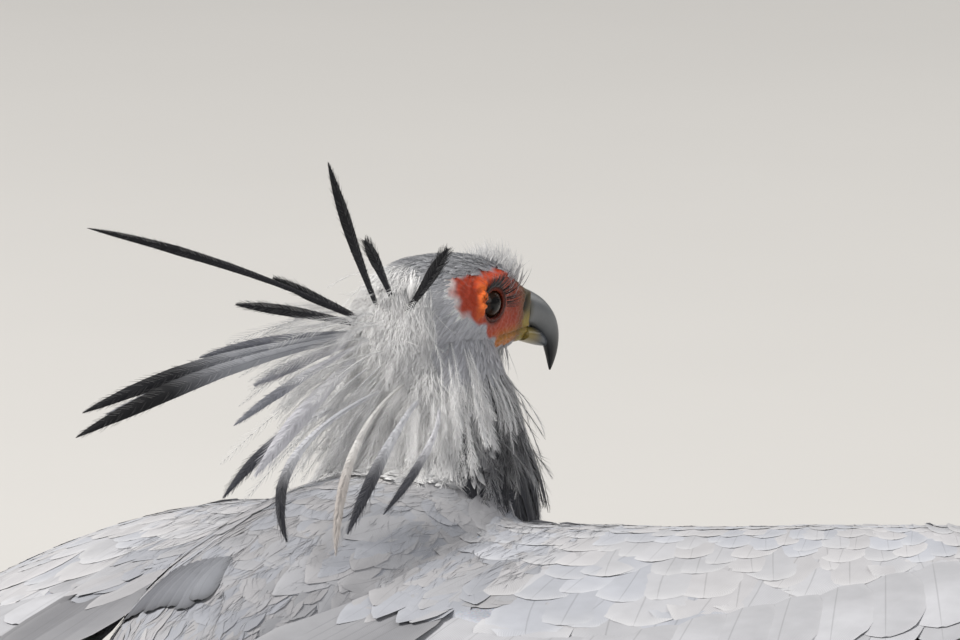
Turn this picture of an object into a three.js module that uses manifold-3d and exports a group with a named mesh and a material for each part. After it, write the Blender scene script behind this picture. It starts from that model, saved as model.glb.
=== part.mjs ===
// A life-size secretary bird resting on the ground in the sun, wings half spread and head turned a little to its right.
// Millimetres. The bird faces +X, its left side is +Y, +Z is up, and the floor is z = 0 under the middle of the belly.
import * as THREE from "three";
import { mergeVertices } from "three/addons/utils/BufferGeometryUtils.js";
import Module from "manifold-3d";

const wasm = await Module();
wasm.setup();

// Driving dimensions
const GAP = 0.3; // clearance between neighbouring pieces
const QUILL = 1.0; // thickness of a flight feather's vane
const PLUME = 0.8; // thickness of a crest feather or lock
const HEAD_AT = [140, 2, 253]; // middle of the skull
const HEAD_TURN = -15; // degrees, to the bird's right
const EYE_AT = [12, 16.5, 1]; // in the head's frame: forward, to the side, up
const EYE_RADIUS = 10.5;
const LID_RADIUS = 8.8;
const MOUTH_Z = -20.2; // height of the gape in the head's frame
const MOUTH_BACK = 22; // the gape's corner, forward of the skull's middle
const BILL_BACK = 56; // where the horn of the bill starts
const TARSUS_RADIUS = 7.5;
const TAIL_ROOT = [-232, 0, 52];

const vec = (x, y, z) => new THREE.Vector3(x, y, z);
const mix = THREE.MathUtils.lerp;
const radians = THREE.MathUtils.degToRad;

// The row of a table at key k, with straight interpolation between its rows [key, value, ...].
function row(table, k) {
  const last = table.length - 1;
  if (k <= table[0][0]) return table[0].slice(1);
  if (k >= table[last][0]) return table[last].slice(1);
  const i = table.findIndex((r) => r[0] > k) - 1;
  const share = (k - table[i][0]) / (table[i + 1][0] - table[i][0]);
  return table[i].slice(1).map((v, j) => mix(v, table[i + 1][j + 1], share));
}

function volume(points, faces) {
  let sum = 0;
  for (const [a, b, c] of faces) {
    sum += points[a].dot(points[b].clone().cross(points[c]));
  }
  return sum / 6;
}

// A closed surface through rings of equal length. With thin set, its two broad faces split alike.
function loft(rings, thin = false) {
  const n = rings[0].length;
  const points = rings.flat();
  const faces = [];
  for (let i = 0; i + 1 < rings.length; i++) {
    for (let j = 0; j < n; j++) {
      const [a, b] = [i * n + j, i * n + ((j + 1) % n)];
      const [c, d] = [a + n, b + n];
      if (thin && j >= n / 2) faces.push([a, b, c], [b, d, c]);
      else faces.push([a, b, d], [a, d, c]);
    }
  }
  const end = (rings.length - 1) * n;
  for (let j = 1; j + 1 < n; j++) {
    faces.push([0, j + 1, j], [end, end + j, end + j + 1]);
  }
  if (volume(points, faces) < 0) faces.forEach((f) => f.reverse());
  return solidFrom(
    new Float32Array(points.flatMap((p) => p.toArray())),
    new Uint32Array(faces.flat()),
  );
}

function solidFrom(vertProperties, triVerts) {
  return new wasm.Manifold(new wasm.Mesh({ numProp: 3, vertProperties, triVerts }));
}

function solidOf(geometry) {
  const bare = geometry.clone();
  bare.deleteAttribute("normal");
  bare.deleteAttribute("uv");
  const merged = mergeVertices(bare, 1e-4);
  return solidFrom(merged.attributes.position.array, new Uint32Array(merged.index.array));
}

function geometryOf(solid) {
  const { numProp, vertProperties, triVerts } = solid.getMesh();
  const count = vertProperties.length / numProp;
  const positions = new Float32Array(count * 3);
  for (let i = 0; i < count; i++) {
    positions.set(vertProperties.subarray(i * numProp, i * numProp + 3), i * 3);
  }
  const geometry = new THREE.BufferGeometry();
  geometry.setAttribute("position", new THREE.BufferAttribute(positions, 3));
  geometry.setIndex(new THREE.BufferAttribute(triVerts, 1));
  geometry.computeVertexNormals();
  return geometry;
}

function largest(solid) {
  return solid.decompose().sort((a, b) => b.volume() - a.volume())[0];
}

const join = (solids) => solids.reduce((all, s) => all.add(s));
const cut = (solid, ...tools) => largest(tools.reduce((left, t) => left.subtract(t), solid));

function block(low, high) {
  const size = high.map((v, i) => v - low[i]);
  const geometry = new THREE.BoxGeometry(...size);
  geometry.translate(...low.map((v, i) => v + size[i] / 2));
  return solidOf(geometry);
}

function ellipsoid(centre, radii, across = 14, up = 9) {
  const geometry = new THREE.SphereGeometry(1, across, up);
  geometry.scale(...radii);
  geometry.translate(...centre);
  return solidOf(geometry);
}

// One rounded ring: n points round centre, reaching a along side, and top or bottom along up.
function ring(centre, side, up, a, top, bottom, n, power = 2.2) {
  return Array.from({ length: n }, (_, j) => {
    const angle = (2 * Math.PI * j) / n;
    const [c, s] = [Math.cos(angle), Math.sin(angle)];
    const across = Math.sign(c) * Math.abs(c) ** (2 / power) * a;
    const height = Math.sign(s) * Math.abs(s) ** (2 / power) * (s > 0 ? top : bottom);
    return centre.clone().addScaledVector(side, across).addScaledVector(up, height);
  });
}

// A round limb through stations [point, radius], rings square to its line.
function limb(stations, n) {
  const line = new THREE.CatmullRomCurve3(stations.map(([p]) => vec(...p)));
  const rings = stations.map(([p, radius], i) => {
    const ahead = line.getTangent(i / (stations.length - 1));
    const side = vec(0, 0, 1).cross(ahead).normalize();
    const up = ahead.clone().cross(side).normalize();
    return ring(vec(...p), side, up, radius, radius, radius, n, 2);
  });
  return loft(rings);
}

// Widths of a feather or lock as [share of its length, share of its width].
const FLIGHT = [
  [0, 0.3],
  [0.16, 0.72],
  [0.45, 1],
  [0.8, 0.95],
  [0.95, 0.6],
  [1, 0.2],
];
const COVERT = [
  [0, 0.45],
  [0.35, 1],
  [0.8, 0.92],
  [1, 0.35],
];
const PADDLE = [
  [0, 0.4],
  [0.3, 0.45],
  [0.6, 0.75],
  [0.82, 1],
  [0.95, 0.62],
  [1, 0.2],
];
const LOCK = [
  [0, 0.7],
  [0.4, 1],
  [0.75, 0.6],
  [1, 0.15],
];

// A thin strip along a curve. across gives the direction of its width at a share of its length,
// and roll turns that by so many degrees about the curve.
function vane({ line, across, width, thick, shape, roll = 0 }) {
  const rings = shape.map(([t, share]) => {
    const at = line.getPoint(t);
    const ahead = line.getTangent(t);
    const side = across(t);
    side.addScaledVector(ahead, -side.dot(ahead)).normalize();
    side.applyAxisAngle(ahead, radians(roll));
    const up = ahead.clone().cross(side).multiplyScalar(thick / 2);
    side.multiplyScalar((width * share) / 2);
    return [
      at.clone().add(side).add(up),
      at.clone().sub(side).add(up),
      at.clone().sub(side).sub(up),
      at.clone().add(side).sub(up),
    ];
  });
  return loft(rings, true);
}

const bow = (root, bend, tip) => new THREE.QuadraticBezierCurve3(root, bend, tip);

// Stations along the body: x, half width, top, bottom
const TRUNK = [
  [-252, 17, 72, 42],
  [-205, 40, 99, 34],
  [-145, 63, 132, 14],
  [-80, 80, 155, 1],
  [-10, 90, 169, -5],
  [60, 91, 173, -6],
  [112, 82, 168, -2],
  [152, 63, 154, 14],
  [180, 40, 134, 40],
  [195, 14, 108, 76],
];

function trunk(grow) {
  const rings = TRUNK.map(([x, half, top, bottom], i) => {
    const end = i === 0 ? -grow : i === TRUNK.length - 1 ? grow : 0;
    const middle = mix(bottom, top, 0.5);
    const tall = (top - bottom) / 2 + grow;
    return ring(vec(x + end, 0, middle), vec(0, 1, 0), vec(0, 0, 1), half + grow, tall, tall, 22);
  });
  return loft(rings);
}

const floorCut = block([-1200, -1200, -60], [1200, 1200, 0]);
const torso = cut(trunk(0), floorCut);
const torsoKeep = trunk(GAP);

// Head, built in its own frame: +X forward along the bill, origin in the middle of the skull.
// Stations: forward, half width, top, bottom
const SKULL = [
  [-50, 12, 17, -16],
  [-42, 24, 26, -26],
  [-28, 31, 31, -33],
  [-12, 34, 31, -36],
  [3, 31.5, 29, -36],
  [14, 27.5, 26.5, -35],
  [26, 24, 23.5, -33],
  [38, 19, 17, -31],
  [48, 14, 8.5, -29.3],
  [BILL_BACK - GAP, 11.2, 2.4, -28.4],
];

function skull(grow) {
  const rings = SKULL.map(([x, half, top, bottom], i) => {
    const end = i === 0 ? -grow : i === SKULL.length - 1 ? grow : 0;
    return ring(vec(x + end, 0, 0), vec(0, 1, 0), vec(0, 0, 1), half + grow, top + grow, grow - bottom, 20);
  });
  return loft(rings);
}

function eyeSolid(side, grow) {
  const radius = EYE_RADIUS + grow;
  return ellipsoid([EYE_AT[0], side * EYE_AT[1], EYE_AT[2]], [radius, radius, radius]);
}

// The opening between the lids, straight out from the eye.
function lidOpening(side) {
  const geometry = new THREE.CylinderGeometry(LID_RADIUS, LID_RADIUS, 30, 14);
  geometry.rotateX(Math.PI / 2);
  geometry.translate(EYE_AT[0], side * (EYE_AT[1] + 18), EYE_AT[2]);
  return solidOf(geometry);
}

function lidRing(side) {
  const geometry = new THREE.TorusGeometry(LID_RADIUS + 0.6, 1.7, 5, 14);
  geometry.rotateX(Math.PI / 2);
  geometry.translate(EYE_AT[0], side * (EYE_AT[1] + 9.6), EYE_AT[2]);
  return solidOf(geometry);
}

const brow = (side) => ellipsoid([14, side * 23.5, 13.5], [20, 5, 4.2], 10, 6);

// A nostril is a slanting slit near the front of the cere, and the gape a fine groove on each cheek.
function nostril(side) {
  const geometry = new THREE.SphereGeometry(1, 8, 6);
  geometry.scale(1.5, 4, 4.6);
  geometry.rotateY(radians(-18));
  geometry.translate(51, side * 13.4, -5.2);
  return solidOf(geometry);
}

function gape(side) {
  const depth = 3.2;
  const edge = (x, half) => [vec(x, side * (half - depth), MOUTH_Z - 0.5), vec(x, side * (half + 6), MOUTH_Z - 0.5),
    vec(x, side * (half + 6), MOUTH_Z + 0.5), vec(x, side * (half - depth), MOUTH_Z + 0.5)];
  return loft([edge(MOUTH_BACK, 21), edge(38, 15.4), edge(BILL_BACK + 2, 8.6)]);
}

function makeHead() {
  let head = skull(0);
  for (const side of [-1, 1]) head = head.add(brow(side)).add(lidRing(side));
  for (const side of [-1, 1]) {
    head = head.subtract(eyeSolid(side, GAP)).subtract(lidOpening(side));
    head = head.subtract(nostril(side)).subtract(gape(side));
  }
  return largest(head);
}

// Upper bill as rings down its hooked middle line: forward, up, tilt in degrees, half depth, half width
const UPPER_BILL = [
  [BILL_BACK, -8.9, 0, 11.2, 10.8],
  [64, -11.6, -14, 9.9, 9.2],
  [72, -15.8, -30, 8.8, 7.8],
  [78.6, -22.4, -52, 7.6, 6.2],
  [82.2, -30.6, -78, 5.7, 4.6],
  [83, -39, -92, 3.7, 3],
  [82.6, -45, -98, 1.8, 1.6],
  [82.2, -48.6, -98, 0.6, 0.6],
];

function upperBill(grow) {
  const rings = UPPER_BILL.map(([x, z, tilt, deep, half], i) => {
    const back = i === 0 ? -grow : 0;
    const up = vec(-Math.sin(radians(tilt)), 0, Math.cos(radians(tilt)));
    return ring(vec(x + back, 0, z), vec(0, 1, 0), up, half + grow, deep + grow, deep + grow, 14, 2);
  });
  return loft(rings);
}

// Lower bill: forward, half width, top, bottom
const LOWER_BILL = [
  [BILL_BACK, 9.6, -19, -28.2],
  [63, 8, -20.6, -30.6],
  [71, 5.8, -23, -33],
  [77.5, 3, -27, -34.4],
];

function lowerBill() {
  const rings = LOWER_BILL.map(([x, half, top, bottom]) => {
    const tall = (top - bottom) / 2;
    return ring(vec(x, 0, bottom + tall), vec(0, 1, 0), vec(0, 0, 1), half, tall, tall, 12);
  });
  return cut(loft(rings), upperBill(GAP));
}

const placed = (solid) => solid.rotate([0, 0, HEAD_TURN]).translate(HEAD_AT);

function headPoint(forward, left, up) {
  return vec(forward, left, up).applyAxisAngle(vec(0, 0, 1), radians(HEAD_TURN)).add(vec(...HEAD_AT));
}

const headKeep = placed(skull(GAP));

// Neck stations: height, forward, left, half length, half width
const NECK = [
  [118, 104, 0, 72, 68],
  [146, 112, 0, 68, 63],
  [170, 119, 0, 60, 55],
  [194, 126, 1, 52, 48],
  [217, 130, 1, 44, 40],
  [236, 133, 2, 36, 31],
  [250, 134, 2, 24, 22],
];

function neckCore(grow) {
  const rings = NECK.map(([z, x, y, long, wide]) =>
    ring(vec(x, y, z), vec(1, 0, 0), vec(0, 1, 0), long + grow, wide + grow, wide + grow, 20, 2),
  );
  return loft(rings);
}

// The ruff: loose locks down both sides of the neck, hanging outward and back.
// Rows: height, how many on each side, length, first and last angle from straight back in degrees
const RUFF = [
  [226, 4, 40, 70, 140],
  [206, 5, 48, 14, 138],
  [188, 5, 42, 14, 142],
];
const RUFF_WIDTH = 15;

function neckLock(height, angle, length, width) {
  const [x, y, long, wide] = row(NECK, height);
  const out = vec(Math.cos(angle), Math.sin(angle), 0);
  const root = vec(x + out.x * (long - 9), y + out.y * (wide - 9), height);
  const tip = root.clone().addScaledVector(out, length * 0.4 + 5);
  tip.z -= length * 0.8;
  const bend = root.clone().addScaledVector(out, length * 0.3 + 6);
  bend.z -= length * 0.2;
  const across = () => vec(-out.y, out.x, 0);
  return vane({ line: bow(root, bend, tip), across, width, thick: PLUME, shape: LOCK });
}

function makeNeck() {
  const locks = [-1, 1].flatMap((side) =>
    RUFF.flatMap(([height, count, length, first, last]) =>
      Array.from({ length: count }, (_, i) => {
        const turn = side * mix(first, last, i / (count - 1));
        const uneven = 1 + 0.16 * Math.sin(i * 2.4 + height * side);
        return neckLock(height, radians(180 + turn), length * uneven, RUFF_WIDTH);
      }),
    ),
  );
  return cut(join([neckCore(0), ...locks]), torsoKeep, headKeep, napeKeep, ...armKeeps);
}

// The crest grows from a pad of down on the nape.
const NAPE_AT = headPoint(-40, 4, -22).toArray();
const NAPE_RADII = [31, 31, 40];
const napePad = (grow) => ellipsoid(NAPE_AT, NAPE_RADII.map((r) => r + grow), 16, 10);
const napeKeep = napePad(GAP);

// Crest feathers in the head's frame: tip, how far the middle rises off the straight line, width.
// All grow out of the middle of the nape.
const CREST_ROOT = [-42, 4, -12];
const CREST = [
  { tip: [-238, 40, 66], rise: 12, width: 9 },
  { tip: [-116, -24, 96], rise: -10, width: 11 },
  { tip: [-116, 20, 26], rise: 0, width: 8 },
  { tip: [-139, 26, 13], rise: 4, width: 8 },
  { tip: [-165, 28, -14], rise: 8, width: 8 },
  { tip: [-248, 34, -30], rise: 26, width: 13 },
  { tip: [-268, 18, -44], rise: 22, width: 15 },
  { tip: [-218, 48, -42], rise: 14, width: 7 },
  { tip: [-160, 6, -50], rise: 8, width: 7 },
  { tip: [-127, 24, -34], rise: 6, width: 8 },
  { tip: [-146, 4, -80], rise: 12, width: 12 },
];
// Short feathers that stand up beside the crown: root and tip
const CROWN = [
  { root: [-48, -14, 0], tip: [-46, -47, 42], rise: -3, width: 9 },
  { root: [-48, -8, 4], tip: [-76, -12, 46], rise: 4, width: 8 },
];
// Crest feathers that fall over the back, in the bird's frame
const DRAPED = [
  { root: [86, 10, 212], bend: [10, 2, 205], tip: [-82, -26, 158], width: 11 },
  { root: [88, -2, 216], bend: [10, -26, 215], tip: [-74, -52, 151], width: 10 },
  { root: [90, -10, 206], bend: [36, -30, 200], tip: [-48, -40, 157], width: 12 },
  { root: [96, -18, 204], bend: [60, -42, 200], tip: [-12, -44, 163], width: 10 },
  { root: [88, 16, 206], bend: [36, 44, 205], tip: [-20, 52, 163], width: 11 },
];

function plume(line, width, roll) {
  const across = () => line.v2.clone().sub(line.v0).cross(vec(0, 0, 1)).normalize();
  return vane({ line, across, width, thick: PLUME, shape: PADDLE, roll });
}

function crestFeather({ root = CREST_ROOT, tip, rise, width }) {
  const from = headPoint(...root);
  const to = headPoint(...tip);
  const bend = from.clone().lerp(to, 0.5);
  bend.z += rise;
  return plume(bow(from, bend, to), width, 30);
}

const drapedFeather = ({ root, bend, tip, width }) => plume(bow(vec(...root), vec(...bend), vec(...tip)), width, 0);

function makeCrest() {
  const feathers = join([...CREST.map(crestFeather), ...CROWN.map(crestFeather), ...DRAPED.map(drapedFeather)]);
  return cut(napePad(0).add(feathers.subtract(neckCore(GAP))), headKeep, torsoKeep);
}

// Wings. Each side has its own pose: the right wrist is held up, and the left wing droops to the floor.
// lead and trail run from the shoulder to the wrist, then on to the hand's tip in handLead and handTrail.
// The flight feathers fan from first to last, in degrees outward from straight back, and drop by so much at their tips.
const WINGS = {
  right: {
    side: -1,
    lead: [[122, -40, 127], [131, -105, 132], [134, -175, 139], [140, -250, 147], [150, -322, 152]],
    trail: [[-50, -40, 122], [-64, -110, 118], [-68, -190, 112], [10, -268, 121], [106, -344, 139]],
    handLead: [[150, -322, 152], [142, -388, 147], [112, -440, 139], [64, -490, 127]],
    handTrail: [[106, -344, 139], [84, -398, 135], [66, -440, 129], [46, -482, 123]],
    secondaries: { first: -2, last: 31, drop: [66, 76] },
    primaries: { first: 34, last: 55, drop: [98, 116] },
  },
  left: {
    side: 1,
    lead: [[120, 40, 127], [122, 105, 128], [120, 172, 115], [120, 240, 88], [126, 318, 48]],
    trail: [[-50, 40, 122], [-64, 110, 110], [-66, 190, 84], [2, 262, 62], [84, 336, 39]],
    handLead: [[126, 318, 48], [120, 380, 41], [92, 440, 34], [48, 492, 27]],
    handTrail: [[84, 336, 39], [66, 392, 34], [50, 438, 29], [30, 484, 24]],
    secondaries: { first: -2, last: 26, drop: [58, 20] },
    primaries: { first: 29, last: 48, drop: [27, 17] },
  },
};
const ARM_THICKNESS = [30, 28, 26, 22, 17];
const HAND_THICKNESS = [17, 14, 11, 8];
const SECONDARIES = { count: 13, length: [262, 318], width: 44, span: [0.24, 0.96] };
const PRIMARIES = { count: 10, length: [400, 500], width: 42, span: [0.07, 0.95] };
const SHINGLE = 7; // degrees by which each flight feather tilts, so that it overlaps the next
const ROOT_SHARE = 0.86; // how far back on the wing's flesh the feathers are rooted

// The outline of a wing's cross section as [share of chord, share of thickness], from the leading edge over the top.
const WING_SECTION = [
  [0, 0],
  [0.05, 0.36],
  [0.22, 0.6],
  [0.55, 0.56],
  [0.85, 0.4],
  [1, 0.3],
  [1, -0.3],
  [0.7, -0.36],
  [0.3, -0.4],
  [0.05, -0.26],
];

function wingLoft(lead, trail, thickness, shift) {
  const rings = lead.map((l, i) => {
    const front = vec(...l).add(shift);
    const back = vec(...trail[i]).add(shift);
    return WING_SECTION.map(([c, h]) => {
      const p = front.clone().lerp(back, c);
      p.z += h * thickness[i];
      return p;
    });
  });
  return loft(rings);
}

// The point of a wing's flesh at a share of its span and a share of its chord
function onWing(lead, trail, span, chord) {
  const at = (points) => vec(...row(points.map((p, i) => [i / (points.length - 1), ...p]), span));
  return at(lead).lerp(at(trail), chord);
}

// A row of overlapping feathers rooted along a wing's trailing edge, with directions that fan out.
function featherRow({ lead, trail, side, count, span, length, width, first, last, drop, raise, shape }) {
  const lines = Array.from({ length: count }, (_, i) => {
    const t = i / (count - 1);
    const angle = radians(180 - side * mix(first, last, t));
    const ahead = vec(Math.cos(angle), Math.sin(angle), 0);
    const root = onWing(lead, trail, mix(span[0], span[1], t), ROOT_SHARE);
    root.z += raise;
    const reach = mix(length[0], length[1], t);
    const fall = mix(drop[0], drop[1], t);
    const tip = root.clone().addScaledVector(ahead, reach);
    tip.z -= fall;
    const bend = root.clone().addScaledVector(ahead, reach * 0.5);
    bend.z -= fall * 0.3;
    return bow(root, bend, tip);
  });
  return lines.map((line, i) => {
    const [before, after] = [lines[Math.max(i - 1, 0)], lines[Math.min(i + 1, count - 1)]];
    const across = (t) => after.getPoint(t).sub(before.getPoint(t)).normalize();
    return vane({ line, across, width, thick: QUILL, shape, roll: -side * SHINGLE });
  });
}

// Flight feathers with their coverts, which are shorter and lie over them.
function featherTiers(row, share) {
  const coverts = {
    ...row,
    length: row.length.map((v) => v * share),
    drop: row.drop.map((v) => v * share * 0.66),
    raise: 5,
    shape: COVERT,
  };
  return [...featherRow({ ...row, raise: -1.5, shape: FLIGHT }), ...featherRow(coverts)];
}

// The room an arm needs where it passes through the base of the neck
const armKeeps = Object.values(WINGS).map(({ lead, trail }) => {
  const wider = ARM_THICKNESS.map((t) => t + 6 * GAP);
  const front = lead.map(([x, y, z]) => [x + 2 * GAP, y, z]);
  const back = trail.map(([x, y, z]) => [x - 2 * GAP, y, z]);
  return wingLoft(front, back, wider, vec(0, 0, 0));
});

function makeArm({ side, lead, trail, secondaries }) {
  const core = wingLoft(lead, trail, ARM_THICKNESS, vec(0, 0, 0));
  const feathers = featherTiers({ ...SECONDARIES, ...secondaries, lead, trail, side }, 0.4);
  return cut(join([core, ...feathers]), torsoKeep);
}

function makeHand({ side, handLead, handTrail, primaries }) {
  const core = wingLoft(handLead, handTrail, HAND_THICKNESS, vec(0, side * GAP * 1.2, 0));
  const feathers = featherTiers({ ...PRIMARIES, ...primaries, lead: handLead, trail: handTrail, side }, 0.3);
  return largest(join([core, ...feathers]));
}

// Tail: pairs of feathers from the outermost to the long middle pair, lying on the floor
const TAIL_PAIRS = [
  { angle: 17, length: 330, width: 46 },
  { angle: 13.5, length: 352, width: 48 },
  { angle: 10, length: 372, width: 50 },
  { angle: 6.6, length: 392, width: 52 },
  { angle: 3.4, length: 412, width: 54 },
  { angle: 1.2, length: 680, width: 50, tipHeight: 3 },
];

const TAIL_STEP = 2.8; // height of each pair over the next one out
const TAIL_OFFSET = 1.3; // height of a left feather over its right one

function makeTail() {
  const base = loft([
    ring(vec(-214, 0, 66), vec(0, 1, 0), vec(0, 0, 1), 34, 24, 22, 14),
    ring(vec(-262, 0, 54), vec(0, 1, 0), vec(0, 0, 1), 26, 15, 15, 14),
    ring(vec(-292, 0, 47), vec(0, 1, 0), vec(0, 0, 1), 16, 8, 8, 14),
  ]);
  const feathers = TAIL_PAIRS.flatMap(({ angle, length, width, tipHeight }, i) =>
    [-1, 1].map((side) => {
      const turn = radians(180 - side * angle);
      const ahead = vec(Math.cos(turn), Math.sin(turn), 0);
      const step = i * TAIL_STEP + (side > 0 ? TAIL_OFFSET : 0);
      const root = vec(...TAIL_ROOT).add(vec(-14, side * (16 - i * 2.4), step * 0.8 - 8));
      const tip = root.clone().addScaledVector(ahead, length);
      tip.z = tipHeight ?? 2 + step;
      const bend = root.clone().addScaledVector(ahead, length * 0.5);
      bend.z = 6 + step;
      const line = bow(root, bend, tip);
      return vane({ line, across: () => vec(0, 1, 0), width, thick: QUILL, shape: FLIGHT, roll: -side * 2 });
    }),
  );
  return cut(join([base, ...feathers]), torsoKeep);
}

// Legs, folded under the body: the thigh along the flank, the tarsus flat on the floor, the toes ahead of it.
const THIGH = [
  [[62, 76, 70], 24],
  [[30, 84, 60], 36],
  [[-40, 90, 50], 35],
  [[-120, 92, 38], 25],
  [[-190, 93, 27], 15],
  [[-226, 94, 20], 11],
];
const TARSUS = [
  [[-236, 94, 9.5], 8.5],
  [[-214, 95, 10.5], 11],
  [[-180, 96, 8.5], TARSUS_RADIUS],
  [[-60, 100, 7.5], TARSUS_RADIUS - 0.6],
  [[50, 104, 7.5], TARSUS_RADIUS],
  [[76, 105, 9], 9.5],
];
const mirrored = (stations, side) => stations.map(([[x, y, z], r]) => [[x, side * y, z], r]);

const TOES = [
  { angle: 0, length: 62, radius: 6 },
  { angle: 26, length: 50, radius: 5.6 },
  { angle: -26, length: 50, radius: 5.6 },
];
const BACK_TOE = { angle: 152, length: 26, radius: 5 };
const CLAW_LENGTH = 20;
const ANKLE = [82, 105, 8];

function toeLine(side, { angle, length, radius }) {
  const turn = radians(side * angle);
  const ahead = vec(Math.cos(turn), Math.sin(turn), 0);
  const start = vec(ANKLE[0], side * ANKLE[1], ANKLE[2]);
  return { start, end: start.clone().addScaledVector(ahead, length), ahead, radius };
}

function makeToe(side, toe) {
  const { start, end, radius } = toeLine(side, toe);
  const middle = start.clone().lerp(end, 0.5);
  return limb([
    [start.toArray(), radius + 1.4],
    [[middle.x, middle.y, radius + 0.4], radius],
    [[end.x, end.y, radius - 0.6], radius - 1],
  ], 9);
}

function makeClaw(side, toe) {
  const { end, ahead, radius } = toeLine(side, toe);
  const at = (share, height) => {
    const p = end.clone().addScaledVector(ahead, CLAW_LENGTH * share + GAP * 1.4);
    return [p.x, p.y, height];
  };
  return cut(limb([
    [at(0, radius - 0.8), radius - 1.6],
    [at(0.45, radius - 0.6), radius - 2.4],
    [at(0.8, radius - 2.6), 1.5],
    [at(1, 0.9), 0.5],
  ], 8), floorCut);
}

function makeLeg(side) {
  const shank = limb(mirrored(TARSUS, side), 10);
  const shankKeep = limb(mirrored(TARSUS.map(([p, r]) => [p, r + GAP]), side), 10);
  const toes = [...TOES, BACK_TOE];
  const footKeepCut = shankKeep;
  return {
    thigh: cut(limb(mirrored(THIGH, side), 14), torsoKeep, shankKeep, floorCut),
    tarsus: cut(shank, floorCut, torsoKeep),
    foot: cut(join([ellipsoid([ANKLE[0] + 4, side * ANKLE[1], 7.6], [13, 11, 7.4], 12, 8),
      ...toes.map((t) => makeToe(side, t))]), footKeepCut, floorCut),
    claws: toes.map((t) => makeClaw(side, t)),
  };
}

const finish = (color, roughness) => new THREE.MeshStandardMaterial({ color, roughness, metalness: 0 });
const MATERIALS = {
  grey: finish(0xc6c8cf, 0.85),
  neck: finish(0xd9d9dc, 0.9),
  crest: finish(0x2b2b30, 0.7),
  skin: finish(0xc2521e, 0.6),
  horn: finish(0x59626b, 0.4),
  eye: finish(0x2a1a10, 0.15),
  flight: finish(0x3a3a40, 0.75),
  tail: finish(0xb9bbc2, 0.8),
  black: finish(0x1c1c20, 0.9),
  leg: finish(0xc98a63, 0.65),
  claw: finish(0x26221f, 0.45),
};

const bird = new THREE.Group();
const headGroup = new THREE.Group();
headGroup.position.set(...HEAD_AT);
headGroup.rotation.z = radians(HEAD_TURN);
bird.add(headGroup);

function addMesh(name, solid, material, parent = bird) {
  const mesh = new THREE.Mesh(geometryOf(solid), MATERIALS[material]);
  mesh.name = name;
  parent.add(mesh);
}

addMesh("torso", torso, "grey");
addMesh("neck", makeNeck(), "neck");
addMesh("crest", makeCrest(), "crest");
addMesh("head", makeHead(), "skin", headGroup);
addMesh("bill_upper", upperBill(0), "horn", headGroup);
addMesh("bill_lower", lowerBill(), "horn", headGroup);
for (const [name, side] of [["right", -1], ["left", 1]]) {
  addMesh(`eye_${name}`, eyeSolid(side, 0), "eye", headGroup);
  addMesh(`wing_arm_${name}`, makeArm(WINGS[name]), "grey");
  addMesh(`wing_hand_${name}`, makeHand(WINGS[name]), "flight");
  const leg = makeLeg(side);
  addMesh(`thigh_${name}`, leg.thigh, "black");
  addMesh(`tarsus_${name}`, leg.tarsus, "leg");
  addMesh(`foot_${name}`, leg.foot, "leg");
  leg.claws.forEach((claw, i) => addMesh(`claw_${name}_${i + 1}`, claw, "claw"));
}
addMesh("tail", makeTail(), "tail");

export default bird;
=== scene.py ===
"""Dresses a resting secretary bird: one skin, a coat of feathers, face, bill, eyes, legs and light.

Lengths are millimetres in the bird's own frame (+X ahead, +Y its left, +Z up). Meshes are in metres.
"""

import math

import bpy
import numpy as np
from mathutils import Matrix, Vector
from mathutils.bvhtree import BVHTree


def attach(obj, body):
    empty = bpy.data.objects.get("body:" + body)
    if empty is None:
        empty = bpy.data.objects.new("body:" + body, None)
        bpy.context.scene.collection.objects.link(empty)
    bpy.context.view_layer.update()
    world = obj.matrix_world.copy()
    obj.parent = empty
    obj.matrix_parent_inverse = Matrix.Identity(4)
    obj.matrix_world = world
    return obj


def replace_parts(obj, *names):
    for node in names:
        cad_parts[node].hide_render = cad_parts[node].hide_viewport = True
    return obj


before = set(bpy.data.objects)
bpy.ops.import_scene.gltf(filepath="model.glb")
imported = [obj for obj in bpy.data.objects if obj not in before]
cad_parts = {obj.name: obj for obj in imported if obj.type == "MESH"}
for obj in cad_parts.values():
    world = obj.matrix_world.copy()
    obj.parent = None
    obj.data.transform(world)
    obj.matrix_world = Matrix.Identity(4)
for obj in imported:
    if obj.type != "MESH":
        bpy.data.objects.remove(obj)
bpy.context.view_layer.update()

MM = 0.001
rng = np.random.default_rng(7)

# Head: its place, its turn to the bird's right, and the eyes in the head's own frame
HEAD_AT = np.array([140.0, 2.0, 253.0])
HEAD_TURN = math.radians(-15)
EYE_AT = np.array([12.0, 16.5, 1.0])
EYE_RADIUS = 10.5
LID_RADIUS = 8.6
# Where the pupil ends and where the iris darkens, in degrees off the eye's axis
PUPIL_END = (21, 24)
IRIS_DARKENS = (36, 44)
MOUTH_Z = -20.2

# How deep the coat stands over the skin on each part
TORSO_COAT = 6.0
NECK_COAT = 6.5
NAPE_COAT = 8.0
WING_COAT = 2.5
THIGH_COAT = 5.0

# x, half width, top, bottom
TRUNK = [
    [-252, 17, 72, 42],
    [-205, 40, 99, 34],
    [-145, 63, 132, 14],
    [-80, 80, 155, 1],
    [-10, 90, 169, -5],
    [60, 91, 173, -6],
    [112, 82, 168, -2],
    [152, 63, 154, 14],
    [180, 40, 134, 40],
    [195, 14, 108, 76],
]
# z, x, y, half length, half width
NECK = [
    [118, 104, 0, 72, 68],
    [146, 112, 0, 68, 63],
    [170, 119, 0, 60, 55],
    [194, 126, 1, 52, 48],
    [217, 130, 1, 44, 40],
    [236, 133, 2, 36, 31],
    [250, 134, 2, 24, 22],
]
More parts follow.
